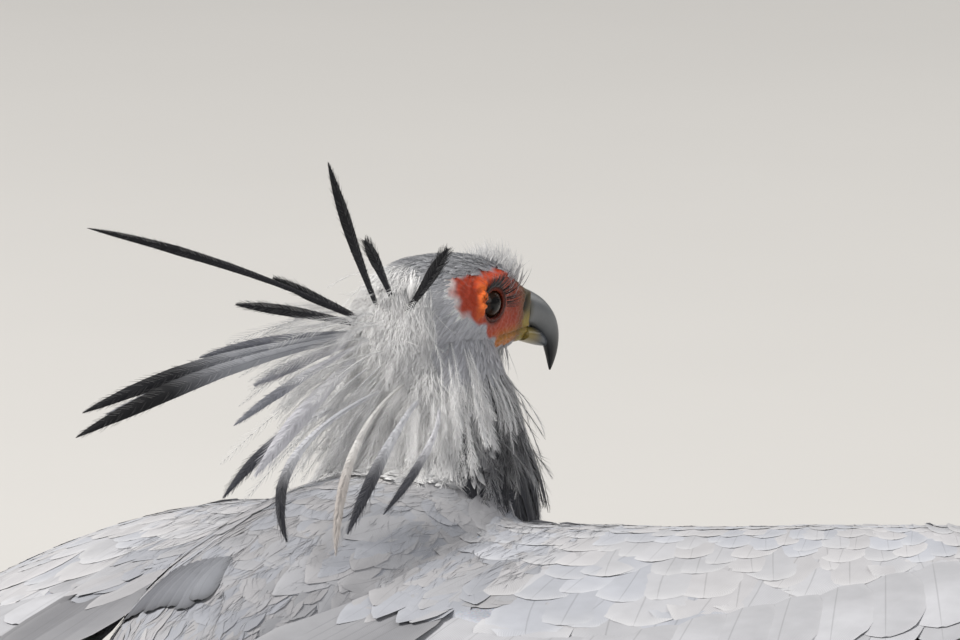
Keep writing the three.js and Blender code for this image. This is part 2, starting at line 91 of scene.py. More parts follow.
# forward, half width, top, bottom, coat depth
SKULL = [
    [-50, 12, 17, -16, 5],
    [-42, 24, 26, -26, 5],
    [-28, 31, 31, -33, 5],
    [-12, 34, 31, -36, 4.5],
    [3, 31.5, 29, -36, 3],
    [14, 27.5, 26.5, -35, 2],
    [26, 24, 23.5, -33, 1.5],
    [38, 19, 17, -31, 1],
    [48, 14, 8.5, -29.3, 0.5],
    [55.7, 11.2, 2.4, -28.4, 0],
]
NAPE_AT = np.array([-40.0, 4.0, -22.0])
NAPE_RADII = np.array([31.0, 31.0, 40.0])

# The wings' flesh from shoulder to wrist and on to the hand's tip, with the fans of their flight feathers
WINGS = {
    "right": {
        "side": -1,
        "lead": [[122, -40, 127], [131, -105, 132], [134, -175, 139], [140, -250, 147], [150, -322, 152]],
        "trail": [[-50, -40, 122], [-64, -110, 118], [-68, -190, 112], [10, -268, 121], [106, -344, 139]],
        "hand_lead": [[150, -322, 152], [142, -388, 147], [112, -440, 139], [64, -490, 127]],
        "hand_trail": [[106, -344, 139], [84, -398, 135], [66, -440, 129], [46, -482, 123]],
        "secondaries": {"first": -2, "last": 31, "drop": (66, 76)},
        "primaries": {"first": 34, "last": 55, "drop": (98, 116)},
    },
    "left": {
        "side": 1,
        "lead": [[120, 40, 127], [122, 105, 128], [120, 172, 115], [120, 240, 88], [126, 318, 48]],
        "trail": [[-50, 40, 122], [-64, 110, 110], [-66, 190, 84], [2, 262, 62], [84, 336, 39]],
        "hand_lead": [[126, 318, 48], [120, 380, 41], [92, 440, 34], [48, 492, 27]],
        "hand_trail": [[84, 336, 39], [66, 392, 34], [50, 438, 29], [30, 484, 24]],
        "secondaries": {"first": -2, "last": 26, "drop": (58, 20)},
        "primaries": {"first": 29, "last": 48, "drop": (27, 17)},
    },
}
# Thickness from the inner to the outer end, and the two faces as share of the chord and of that thickness
ARM_THICKNESS = [30, 28, 26, 22, 17]
HAND_THICKNESS = [17, 14, 11, 8]
WING_TOP = [[0, 0], [0.05, 0.36], [0.22, 0.6], [0.55, 0.56], [0.85, 0.4], [1, 0.3]]
WING_BOTTOM = [[0, 0], [0.05, -0.26], [0.3, -0.4], [0.7, -0.36], [1, -0.3]]
SECONDARIES = {"count": 13, "length": (262, 318), "width": 44, "span": (0.24, 0.96)}
PRIMARIES = {"count": 10, "length": (400, 500), "width": 42, "span": (0.07, 0.95)}
# How much each flight feather is rolled under the next, and at which share of the chord they are rooted
SHINGLE = math.radians(7)
ROOT_SHARE = 0.86

TAIL_ROOT = np.array([-232.0, 0.0, 52.0])
# Height between the tail's pairs, and between the left and the right feather of a pair
TAIL_STEP = 2.8
TAIL_OFFSET = 1.3
# Where the white tip ends and where the black band starts and ends, from the feather's tip
TAIL_WHITE_END = (20, 28)
TAIL_BAND_START = (22, 30)
TAIL_BAND_END = (85, 100)
# angle, length, width, height of the tip or None for its place in the stack
TAIL_PAIRS = [
    [17, 330, 46, None],
    [13.5, 352, 48, None],
    [10, 372, 50, None],
    [6.6, 392, 52, None],
    [3.4, 412, 54, None],
    [1.2, 680, 50, 3],
]

# x, y, z, radius
THIGH = [
    [62, 76, 70, 24],
    [30, 84, 60, 36],
    [-40, 90, 50, 35],
    [-120, 92, 38, 25],
    [-190, 93, 27, 15],
    [-226, 94, 20, 11],
]

# Remeshing of the flesh
VOXEL = 3.2
SMOOTHING_ROUNDS = 14

# Places drawn on the skin for each kind of feather, and how far apart the kept ones are
BODY_DRAWS, BODY_APART = 30000, 8.0
BODY_BARBS = 7000
NECK_DRAWS, NECK_APART = 11000, 4.2
NECK_PLUME_DRAWS, NECK_PLUME_APART = 1500, 8.2
NECK_FILAMENTS = 5500
NAPE_DOWN = 5000
NAPE_STRANDS = 2600
HEAD_DRAWS, HEAD_APART = 14000, 2.2
HEAD_HAIRS = 6000
THROAT_HAIRS = 1900
# Counts of feathers that are placed in rows or groups
SCAPULARS_IN_ROW = 14
TERTIALS = 6
RUMP_FAN = 8
NAPE_PLUMES = 120
LASHES = 70
BRISTLES = 420


def srgb(code):
    """A colour written as sRGB hex, as linear red, green and blue."""
    parts = np.array([int(code[i : i + 2], 16) for i in (0, 2, 4)]) / 255
    return np.where(parts <= 0.04045, parts / 12.92, ((parts + 0.055) / 1.055) ** 2.4)


GREY = srgb("96979c")
PALE_GREY = srgb("b0b1b6")
WHITE = srgb("f2f2f2")
BLACK = srgb("17171b")
CHARCOAL = srgb("33333a")
BROWN_GREY = srgb("6f6a68")
# Painted shade: a deeper red than the face's own orange skin, away from the eye
DEEP_ORANGE_SHADED = srgb("a8330f")
YELLOW = srgb("a08a3c")
CROWN_GREY = srgb("8f9197")
CHEEK_GREY = srgb("c3c4ca")
# Painted shade: the lower front of the neck and the skirt there, grey in life, darkened nearly to black
NECK_PAINTED_SHADE = srgb("36373d")
SKIRT_PAINTED_SHADE = srgb("33343a")
SKIRT_STREAK = srgb("b9babd")
FAN_PALE = srgb("7d8087")
FAN_DARK = srgb("55575f")
BRISTLE_GREY = srgb("8d8f97")
SHAFT_BROWN = srgb("2a2624")
TAIL_SHAFT = srgb("4a4644")
SKIN_GREY = srgb("a3a6af")
# Painted shade: a deeper red than the face's own orange skin, near the eye
ORANGE_SHADED_NEAR_EYE = srgb("b23c16")
RIM_BROWN = srgb("240d09")
LORE_BROWN = srgb("4a2413")
JAW_YELLOW = srgb("d98a24")
# Painted highlight: the orange fold behind the eye, painted brighter as if lit
FOLD_ORANGE_HIGHLIGHT = srgb("ff7d28")
FRONT_BROWN = srgb("6b4a28")
CERE_OLIVE = srgb("584f36")
# Painted shade: the dark of the nostril's slot
NOSTRIL_PAINTED_SHADE = srgb("120e0b")
GAPE_OLIVE = srgb("8a7030")
HORN_GREY = srgb("6c6f71")
HORN_DARK = srgb("2a2b2d")
HORN_BASE = srgb("4c4836")
LOWER_HORN = srgb("4a5058")
IRIS = srgb("2e1b0f")
IRIS_EDGE = srgb("1c120c")
PUPIL = srgb("070606")
SHANK = srgb("c08f72")
CLAW_BROWN = srgb("2a2522")


# Shapes in arrays

def spline(table, keys):
    """The rows of a table [key, value, ...] at some keys, on a smooth curve through them."""
    table = np.asarray(table, float)
    keys = np.clip(np.asarray(keys, float), table[0, 0], table[-1, 0])
    x, y = table[:, 0], table[:, 1:]
    slope = np.gradient(y, x, axis=0)
    i = np.clip(np.searchsorted(x, keys, "right") - 1, 0, len(x) - 2)
    h = (x[i + 1] - x[i])[:, None]
    t = ((keys - x[i]) / (x[i + 1] - x[i]))[:, None]
    start = (1 + 2 * t) * (1 - t) ** 2 * y[i] + t * (1 - t) ** 2 * h * slope[i]
    end = t * t * (3 - 2 * t) * y[i + 1] + t * t * (t - 1) * h * slope[i + 1]
    return start + end


def unit(v):
    return v / np.maximum(np.linalg.norm(v, axis=-1, keepdims=True), 1e-9)


def xyz(*parts):
    """Vectors from their parts, each a number or an array."""
    return np.stack(np.broadcast_arrays(*[np.asarray(part, float) for part in parts]), -1)


def near(x, width, power=2):
    """1 where x is 0, falling smoothly away beyond a width."""
    return np.exp(-((x / width) ** power))


def mixed(a, b, share):
    """Colour a changed to b by a share, or by a share for each row."""
    share = np.asarray(share, float)[..., None]
    return a * (1 - share) + b * share


def painted(base, *layers):
    """A base colour under layers of a colour and its share, one after another."""
    for colour, share in layers:
        base = mixed(base, colour, share)
    return base


def smoothstep(low, high, x):
    t = np.clip((x - low) / (high - low), 0, 1)
    return t * t * (3 - 2 * t)


def along(v, share):
    """v changed from its first to its last value by a share between 0 and 1."""
    return v[0] + (v[1] - v[0]) * share


def superellipse(angle, a, top, bottom, power=2.2):
    c, s = np.cos(angle), np.sin(angle)
    across = np.sign(c) * np.abs(c) ** (2 / power) * a
    height = np.sign(s) * np.abs(s) ** (2 / power) * np.where(s > 0, top, bottom)
    return across, height


def head_axes():
    c, s = math.cos(HEAD_TURN), math.sin(HEAD_TURN)
    return np.array([[c, s, 0], [-s, c, 0], [0, 0, 1]])


HEAD_AXES = head_axes()


def to_world(p):
    """Head frame to bird frame."""
    return np.asarray(p, float) @ HEAD_AXES + HEAD_AT


def to_head(p):
    """Bird frame to head frame."""
    return (p - HEAD_AT) @ HEAD_AXES.T


def turn_to_world(v):
    """A direction from the head's frame to the bird's."""
    return v @ HEAD_AXES


def circle(steps):
    return np.linspace(0, 2 * np.pi, steps, endpoint=False)


def heading(angle):
    """Level directions at angles from straight ahead."""
    return xyz(np.cos(angle), np.sin(angle), 0)


def rolled(side, up, angle):
    """Side and up, turned together about a feather's middle line."""
    return side * math.cos(angle) + up * math.sin(angle), up * math.cos(angle) - side * math.sin(angle)


def grid_faces(rows, columns, closed=False):
    """Quads over a grid of points, joined round when closed."""
    i, j = np.meshgrid(np.arange(rows - 1), np.arange(columns if closed else columns - 1), indexing="ij")
    a = i * columns + j
    b = i * columns + (j + 1) % columns
    return np.stack([a, b, b + columns, a + columns], -1).reshape(-1, 4)


def halved(quads):
    """Each quad as two triangles."""
    return np.concatenate([quads[:, [0, 1, 2]], quads[:, [0, 2, 3]]])


def read(items, name, width, kind=float):
    """One property of all the items of a mesh, as rows."""
    values = np.empty(len(items) * width, dtype=kind)
    items.foreach_get(name, values)
    return values.reshape(-1, width)


def bezier(root, bend, tip, t):
    """Points at shares t of curves that start at root and end at tip; the result is curve by share."""
    t = np.asarray(t)[None, :, None]
    root, bend, tip = root[:, None], bend[:, None], tip[:, None]
    return (1 - t) ** 2 * root + 2 * t * (1 - t) * bend + t * t * tip


def make_object(name, points, faces, material, colours=None, bake=None, vane=None):
    """A smooth mesh object from points in millimetres, riding on the bird."""
    mesh = bpy.data.meshes.new(name)
    count, size = faces.shape
    mesh.vertices.add(len(points))
    mesh.vertices.foreach_set("co", (points * MM).ravel())
    mesh.loops.add(faces.size)
    mesh.loops.foreach_set("vertex_index", faces.ravel().astype(np.int32))
    mesh.polygons.add(count)
    mesh.polygons.foreach_set("loop_start", np.arange(0, faces.size, size, dtype=np.int32))
    mesh.update(calc_edges=True)
    mesh.polygons.foreach_set("use_smooth", np.full(count, True))
    for layer_name, uv in (("OFBake", bake), ("Vane", vane)):
        if uv is not None:
            layer = mesh.uv_layers.new(name=layer_name)
            layer.uv.foreach_set("vector", uv[faces.ravel()].astype(np.float32).ravel())
    if colours is not None:
        tint = mesh.color_attributes.new("Tint", "FLOAT_COLOR", "POINT")
        rgba = np.concatenate([colours, np.ones((len(colours), 1))], 1)
        tint.data.foreach_set("color", rgba.astype(np.float32).ravel())
    mesh.materials.append(material)
    mesh.validate()
    obj = bpy.data.objects.new(name, mesh)
    bpy.context.scene.collection.objects.link(obj)
    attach(obj, "root")
    return obj


# Materials

def shader_of(material):
    return material.node_tree.nodes["Principled BSDF"]


def filled(made, **values):
    """A node with some of its sockets set."""
    for key, value in values.items():
        made.inputs[key.replace("_", " ")].default_value = value
    return made


def new_material(name, roughness, **fixed):
    material = bpy.data.materials.new(name)
    material.use_nodes = True
    filled(shader_of(material), Roughness=roughness, **fixed)
    return material


def node(material, kind, **settings):
    made = material.node_tree.nodes.new(kind)
    for key, value in settings.items():
        setattr(made, key, value)
    return made


def link(material, source, target):
    material.node_tree.links.new(source, target)


def plain(material, colour):
    base = node(material, "ShaderNodeRGB")
    base.outputs[0].default_value = (*colour, 1)
    return base.outputs[0]


def worked_out(material, operation, *values):
    """The result of a sum on sockets and numbers."""
    made = node(material, "ShaderNodeMath", operation=operation)
    for value, socket in zip(values, made.inputs):
        if isinstance(value, bpy.types.NodeSocket):
            link(material, value, socket)
        else:
            socket.default_value = value
    return made.outputs[0]


def ranged(material, value, **limits):
    """A value between 0 and 1, or between other limits."""
    made = filled(node(material, "ShaderNodeMapRange"), **limits)
    link(material, value, made.inputs["Value"])
    return made.outputs["Result"]


def paint_with(material, colour, *layers):
    """The base colour, made darker or lighter between two levels by each layer in turn."""
    for fac, low, high in layers:
        scale = node(material, "ShaderNodeVectorMath", operation="SCALE")
        link(material, colour, scale.inputs[0])
        link(material, ranged(material, fac, To_Min=low, To_Max=high), scale.inputs["Scale"])
        colour = scale.outputs["Vector"]
    link(material, colour, shader_of(material).inputs["Base Color"])


def tint_node(material):
    return node(material, "ShaderNodeVertexColor", layer_name="Tint").outputs["Color"]


def add_bump(material, height, strength, distance):
    bump = filled(node(material, "ShaderNodeBump"), Strength=strength, Distance=distance)
    link(material, height, bump.inputs["Height"])
    link(material, bump.outputs["Normal"], shader_of(material).inputs["Normal"])


def noise(material, scale, detail=4.0, distortion=0.0):
    made = filled(node(material, "ShaderNodeTexNoise"), Scale=scale, Detail=detail, Distortion=distortion)
    link(material, node(material, "ShaderNodeTexCoord").outputs["Object"], made.inputs["Vector"])
    return made.outputs["Fac"]


def plumage_material(name, barbs, roughness=0.78, sheen=0.2):
    """Feather vanes: tint, fine barbs that slant away from the shaft, and a soft sheen."""
    material = new_material(name, roughness, Sheen_Weight=sheen, Sheen_Roughness=0.6,
                            Specular_IOR_Level=0.25)
    split = node(material, "ShaderNodeSeparateXYZ")
    link(material, node(material, "ShaderNodeUVMap", uv_map="Vane").outputs["UV"], split.inputs["Vector"])
    distance = worked_out(material, "ABSOLUTE", worked_out(material, "SUBTRACT", split.outputs["X"], 0.5))
    slant = worked_out(material, "MULTIPLY_ADD", distance, -0.35, split.outputs["Y"])
    ripple = worked_out(material, "SINE", worked_out(material, "MULTIPLY", slant, barbs))
    level = ranged(material, ripple, From_Min=-1)
    shaft = ranged(material, distance, From_Max=0.014)
    paint_with(material, tint_node(material), (level, 0.92, 1.03), (shaft, 0.72, 1.0),
               (noise(material, 90, 5), 0.88, 1.1), (noise(material, 18, 2), 0.86, 1.1))
    add_bump(material, level, 0.15, 0.0002)
    return material


def noisy_material(name, roughness, waves, levels, colour=None, bump=None, **fixed):
    """A colour, or else the mesh's tint, broken up by noise, which may also raise the surface."""
    material = new_material(name, roughness, **fixed)
    fac = noise(material, *waves)
    base = tint_node(material) if colour is None else plain(material, colour)
    paint_with(material, base, (fac, *levels))
    if bump:
        add_bump(material, fac, *bump)
    return material


def leg_material():
    """Scaly skin on the shanks and toes."""
    material = new_material("leg_scales", 0.55, Specular_IOR_Level=0.35)
    cells = filled(node(material, "ShaderNodeTexVoronoi", feature="DISTANCE_TO_EDGE"), Scale=260)
    link(material, node(material, "ShaderNodeTexCoord").outputs["Object"], cells.inputs["Vector"])
    level = ranged(material, cells.outputs["Distance"], From_Max=0.12)
    paint_with(material, plain(material, SHANK), (level, 0.45, 1.0), (noise(material, 70), 0.75, 1.2))
    add_bump(material, level, 0.6, 0.0006)
    return material


CONTOUR = plumage_material("contour_plumage", 420)
FLIGHT = plumage_material("flight_plumage", 480, roughness=0.6, sheen=0.05)
STRAND = noisy_material("loose_plumage", 0.7, (60, 3), (0.85, 1.12), Sheen_Weight=0.3, Sheen_Roughness=0.5,
                        Specular_IOR_Level=0.3)
SKIN = noisy_material("face_and_body_skin", 0.5, (420, 6, 1.2), (0.7, 1.2), bump=(0.5, 0.0008),
                      Subsurface_Weight=0.12, Subsurface_Scale=0.004)
HORN = noisy_material("bill_horn", 0.36, (260, 5, 0.6), (0.82, 1.12), bump=(0.2, 0.0003),
                      Specular_IOR_Level=0.5, Coat_Weight=0.15, Coat_Roughness=0.3)
EYE = noisy_material("eye", 0.16, (900, 4), (0.75, 1.2), Specular_IOR_Level=0.22, Coat_Weight=0.12,
                     Coat_Roughness=0.03)
CLAW = noisy_material("claw_horn", 0.3, (300,), (0.6, 1.5), CLAW_BROWN, Coat_Weight=0.2, Coat_Roughness=0.2)
LEG = leg_material()


# Flesh

def trunk_surface(x, angle, coat):
    half, top, bottom = spline(TRUNK, x).T
    middle = (top + bottom) / 2
    tall = np.maximum((top - bottom) / 2 - coat, 4)
    across, height = superellipse(angle, np.maximum(half - coat, 4), tall, tall)
    return np.stack([x, across, np.maximum(middle + height, 1.5)], -1)


def neck_surface(z, angle, coat):
    x, y, long, wide = spline(NECK, z).T
    across, height = superellipse(angle, long - coat, wide - coat, wide - coat, 2)
    return np.stack([x + across, y + height, z], -1)


def wing_edges(lead, trail, thickness, span):
    """The leading edge, the trailing edge and the thickness at some shares of a wing's span."""
    keys = np.linspace(0, 1, len(lead))[:, None]
    front = spline(np.hstack([keys, lead]), span)
    back = spline(np.hstack([keys, trail]), span)
    thick = spline(np.hstack([keys, np.array(thickness, float)[:, None]]), span)[:, 0]
    return front, back, thick


def wing_surface(part, span, chord, top, coat=WING_COAT):
    """Points on a wing's flesh, on its upper or its lower face."""
    front, back, thick = wing_edges(*part, span)
    table = np.array(WING_TOP if top else WING_BOTTOM)
    height = np.interp(chord, table[:, 0], table[:, 1]) * np.maximum(thick - 2 * coat, 2.5)
    points = front + (back - front) * chord[:, None]
    points[:, 2] += height
    return points


def closed_loft(rings):
    """Points and triangles of rings (ring by point by 3), closed by a fan at each end."""
    rows, columns = rings.shape[:2]
    centres = np.stack([rings[0].mean(0), rings[-1].mean(0)])
    count = rows * columns
    j = np.arange(columns)
    k = (j + 1) % columns
    first = np.stack([np.full(columns, count), k, j], -1)
    last = np.stack([np.full(columns, count + 1), count - columns + j, count - columns + k], -1)
    faces = np.concatenate([halved(grid_faces(rows, columns, closed=True)), first, last])
    return np.concatenate([rings.reshape(-1, 3), centres]), faces


def ring_loft(surface, keys, around):
    """A closed loft of surface(keys, angles)."""
    angle = circle(around)
    k, a = np.meshgrid(keys, angle, indexing="ij")
    return closed_loft(surface(k.ravel(), a.ravel()).reshape(len(keys), around, 3))


def wing_loft(part, steps=28, chords=18):
    c = np.linspace(0, 1, chords)
    rings = []
    for span in np.linspace(0, 1, steps):
        upper, lower = (wing_surface(part, np.full(chords, span), c, top) for top in (True, False))
        rings.append(np.concatenate([upper, lower[::-1][:-1]]))
    return closed_loft(np.array(rings))


def ellipsoid_loft(centre, radii, steps=24):
    def surface(k, a):
        return centre + xyz(np.cos(k) * np.cos(a), np.cos(k) * np.sin(a), np.sin(k)) * radii

    return ring_loft(surface, np.linspace(-np.pi / 2 + 0.08, np.pi / 2 - 0.08, steps), 28)


def limb_loft(table, coat=0.0, steps=40, around=24, mirror=1):
    table = np.array(table, float)
    keys = np.linspace(0, 1, len(table))[:, None]
    line = spline(np.hstack([keys, table]), np.linspace(0, 1, steps))
    centre, radius = line[:, :3] * [1, mirror, 1], np.maximum(line[:, 3] - coat, 3)
    ahead = unit(np.gradient(centre, axis=0))
    side = unit(np.cross([0, 0, 1.0], ahead))
    up = np.cross(ahead, side)
    angle = circle(around)[None, :, None]
    round_it = side[:, None] * np.cos(angle) + up[:, None] * np.sin(angle)
    return closed_loft(centre[:, None] + radius[:, None, None] * round_it)


def wing_part(name, hand=False):
    wing = WINGS[name]
    if hand:
        return wing["hand_lead"], wing["hand_trail"], HAND_THICKNESS
    return wing["lead"], wing["trail"], ARM_THICKNESS


def merge(pieces):
    """Points and triangles of several pieces as one pair."""
    points, faces, offset = [], [], 0
    for p, f in pieces:
        points.append(p)
        faces.append(f + offset)
        offset += len(p)
    return np.concatenate(points), np.concatenate(faces)


# The head's skin: a fine grid with sockets, brow, folds and gape pressed into it

def head_surface(forward, angle):
    half, top, bottom, coat = spline(SKULL, forward).T
    across, height = superellipse(angle, half - coat, top - coat, -bottom - coat)
    return np.stack([forward, across, height], -1)


def head_relief(p):
    """How far each point of the head stands out of the plain loft."""
    x, y, z = p.T
    to_eye = np.hypot(x - EYE_AT[0], z - EYE_AT[2])
    lateral = smoothstep(8, 16, np.abs(y))
    mouth = smoothstep(20, 26, x)
    creases = np.sin(x * 1.1 + 1.6 * np.sin(z * 0.55)) * np.sin(z * 1.3 + 1.2 * np.sin(x * 0.5))
    socket = -5.5 * near(to_eye, 10.0, 4) * lateral
    rim = 1.2 * near(to_eye - 11.5, 2.0) * lateral
    brow = 3.8 * near(z - 13.5, 3.4) * near(x - 16, 17, 4) * lateral
    gape = -1.8 * near(z - MOUTH_Z, 0.8) * mouth
    lips = 0.7 * near(np.abs(z - MOUTH_Z) - 2.0, 1.2) * mouth
    nostril = -2.4 * near(x - 51 - 0.3 * (z + 5), 1.5) * near(z + 5.2, 4.2) * smoothstep(6, 9, np.abs(y))
    lore = -1.6 * near(x - 32, 9) * near(z + 2, 9) * lateral
    fold = 3.6 * bright_fold(p) * fold_lobes(p)
    wrinkles = 0.45 * creases * bare_face(p) * smoothstep(11, 14, to_eye)
    return socket + rim + brow + gape + lips + nostril + lore + fold + wrinkles


def fold_lobes(p):
    """Uneven swellings of the bright fold, between 0.3 and 1."""
    x, _, z = p.T
    wave = np.sin(z * 1.15 + 0.9 * np.sin(x * 1.1)) + 0.7 * np.cos((x + 2) * 1.3 + 0.4 * z)
    return 0.3 + 0.7 * smoothstep(-1.3, 0.9, wave)


def bright_fold(p):
    """1 on the swollen fold just behind each eye, which the skin's colours paint bright as a painted
    highlight over its own orange.
    """
    x, y, z = p.T
    lean = x - 0.2 * (z - 5)
    return near(lean + 1.5, 3.3, 4) * near(z - 5.5, 9.5, 4) * smoothstep(10, 18, np.abs(y))


def bare_face(p):
    """1 on the bare orange skin round the eye, 0 under the feathers, in the head's frame."""
    x, y, z = p.T
    low = np.where(x > 22, -27, 3 - 0.58 * (x + 22) - 2 * smoothstep(0, 16, x))
    edge = 1.6 * np.sin(x * 0.45) + 1.2 * np.sin(z * 0.6 + 1)
    ahead = np.maximum(x - 20, 0)
    back = smoothstep(-24, -17, x + edge)
    above = smoothstep(low - 2 + edge, low + 2 + edge, z)
    top = 1 - smoothstep(17, 21, z + edge + 0.36 * ahead)
    front = 1 - smoothstep(49, 53, x)
    return back * above * top * front * smoothstep(5, 9, np.abs(y) + 0.35 * ahead)


def cere(p):
    """1 on the yellowish band between the bare face and the horn."""
    return smoothstep(47, 51, p[:, 0])


def build_head():
    stations = np.concatenate([np.linspace(-50, 0, 60), np.linspace(0.8, 55.7, 90)])
    around = 190
    angle = circle(around)
    k, a = np.meshgrid(stations, angle, indexing="ij")
    points = head_surface(k.ravel(), a.ravel())
    grid = points.reshape(len(stations), around, 3)
    normal = np.cross(np.gradient(grid, axis=1), np.gradient(grid, axis=0)).reshape(-1, 3)
    outward = np.sign((normal * (points * [0, 1, 1])).sum(1, keepdims=True))
    normal = unit(normal * np.where(outward == 0, 1, outward))
    points = points + normal * head_relief(points)[:, None]
    return closed_loft(to_world(points.reshape(len(stations), around, 3)))


def lid_rings():
    """Wrinkled lids: a ring round each eye, thicker above."""
    pieces = []
    steps, around = 72, 12
    turn = circle(steps)
    tube = circle(around)
    t, u = np.meshgrid(turn, tube, indexing="ij")
    fat = 1.5 + 0.5 * np.sin(t) + 0.12 * np.sin(t * 17)
    radius = LID_RADIUS + 0.9 + fat * np.cos(u)
    x = EYE_AT[0] + radius * np.cos(t) * 1.04
    z = EYE_AT[2] + radius * np.sin(t) * 0.98
    y = EYE_AT[1] + 8.2 + fat * np.sin(u) - 0.12 * (x - EYE_AT[0])
    quads = grid_faces(steps + 1, around, closed=True) % (steps * around)
    for side in (-1, 1):
        faces = quads[:, ::-1] if side < 0 else quads
        pieces.append((to_world(xyz(x, side * y, z).reshape(-1, 3)), halved(faces)))
    return pieces


def body_flesh():
    """The body, neck, nape, wings and thighs fused into one smooth surface."""
    pieces = [
        ring_loft(lambda k, a: trunk_surface(k, a, TORSO_COAT), np.linspace(-248, 192, 60), 48),
        ring_loft(lambda k, a: neck_surface(k, a, NECK_COAT), np.linspace(118, 249, 30), 40),
        ellipsoid_loft(to_world(NAPE_AT), NAPE_RADII - NAPE_COAT),
        limb_loft([[-200, 0, 66, 30], [-240, 0, 58, 20], [-285, 0, 47, 9]], 2),
    ]
    for name, wing in WINGS.items():
        pieces.append(wing_loft(wing_part(name)))
        pieces.append(wing_loft(wing_part(name, hand=True), 18, 14))
        pieces.append(limb_loft(THIGH, THIGH_COAT, mirror=wing["side"]))
    obj = make_object("flesh", *merge(pieces), SKIN)
    fuse = obj.modifiers.new("fuse", "REMESH")
    fuse.mode = "VOXEL"
    fuse.voxel_size = VOXEL * MM
    soft = obj.modifiers.new("soften", "SMOOTH")
    soft.factor = 0.5
    soft.iterations = SMOOTHING_ROUNDS
    view = bpy.context.evaluated_depsgraph_get()
    fused = bpy.data.meshes.new_from_object(obj.evaluated_get(view))
    fused.calc_loop_triangles()
    points = read(fused.vertices, "co", 3) / MM
    triangles = read(fused.loop_triangles, "vertices", 3, np.int32)
    bpy.data.objects.remove(obj)
    bpy.data.meshes.remove(fused)
    points[:, 2] = np.maximum(points[:, 2], 1.0)
    return points, triangles


def skin_colours(points):
    """Grey under the coat, white on the nape, black on the thighs, orange on the face, olive on the cere."""
    local = to_head(points)
    x, y, z = local.T
    near_head = (np.abs(y) < 40) & (x > -60) & (x < 60) & (z > -38)
    black = smoothstep(30, 70, np.abs(points[:, 1])) * (1 - smoothstep(60, 95, points[:, 2]))
    black = black * smoothstep(-60, 60, -points[:, 0] + 40)
    to_eye = np.hypot(x - EYE_AT[0], z - EYE_AT[2])
    # Painted shade: the bare face's orange painted a deeper red, deepest away from the eye
    orange = painted(
        mixed(ORANGE_SHADED_NEAR_EYE, DEEP_ORANGE_SHADED, smoothstep(14, 30, to_eye)),
        (RIM_BROWN, near(to_eye - 9.8, 2.6) * 0.9),
        (LORE_BROWN, near(x - 34, 8) * near(z - 2, 10) * 0.6),
        (JAW_YELLOW, smoothstep(12, 24, -z) * smoothstep(8, 24, x) * 0.7),
        # Painted highlight on the fold behind the eye, over its own orange
        (FOLD_ORANGE_HIGHLIGHT, bright_fold(local) * (0.25 + 0.75 * fold_lobes(local))),
        (FRONT_BROWN, smoothstep(36, 48, x) * 0.8),
    )
    waxy = mixed(YELLOW, CERE_OLIVE, smoothstep(-16, -7, z))
    # Painted shade: the nostril's shallow groove painted nearly black
    slot = near(x - 51 - 0.3 * (z + 5), 1.9) * near(z + 5.2, 4.6) * smoothstep(5, 8, np.abs(y))
    gape = near(z - MOUTH_Z, 3.0) * smoothstep(18, 26, x)
    return painted(
        SKIN_GREY,
        (WHITE * 0.9, neck_share(points) * (1 - neck_front(points))),
        (BLACK, black * 0.8),
        (orange, bare_face(local) * near_head),
        (waxy, cere(local) * near_head),
        (NOSTRIL_PAINTED_SHADE, slot * near_head),
        (GAPE_OLIVE, gape * near_head * 0.6),
    )


def make_skin():
    points, faces = merge([body_flesh(), build_head(), *lid_rings()])
    obj = make_object("skin", points, faces, SKIN, skin_colours(points))
    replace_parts(obj, "torso", "neck", "head")
    bpy.context.view_layer.objects.active = obj
    obj.select_set(True)
    bpy.ops.object.mode_set(mode="EDIT")
    bpy.ops.mesh.select_all(action="SELECT")
    bpy.ops.mesh.normals_make_consistent(inside=False)
    bpy.ops.uv.smart_project(angle_limit=math.radians(66), island_margin=0.001)
    bpy.ops.object.mode_set(mode="OBJECT")
    obj.data.uv_layers[0].name = "OFBake"
    obj.select_set(False)
    return obj


def flight_sheets():
    """Plain sheets just over and under the inner halves of the flight feathers, for coverts to lie on."""
    sheets = []
    for name in WINGS:
        for hand in (False, True):
            for offset in (1.5, -4.5):
                root, bend, tip, _ = feather_lines(name, hand, offset)
                points = bezier(root, bend, tip, np.linspace(0, 0.55, 9)).reshape(-1, 3)
                triangles = halved(grid_faces(len(root), 9))
                a, b, c = (points[triangles[:, i]] for i in range(3))
                upward = np.cross(b - a, c - a)[:, 2].sum() > 0
                if upward != (offset > 0):
                    triangles = triangles[:, ::-1]
                sheets.append((points, triangles))
    return sheets


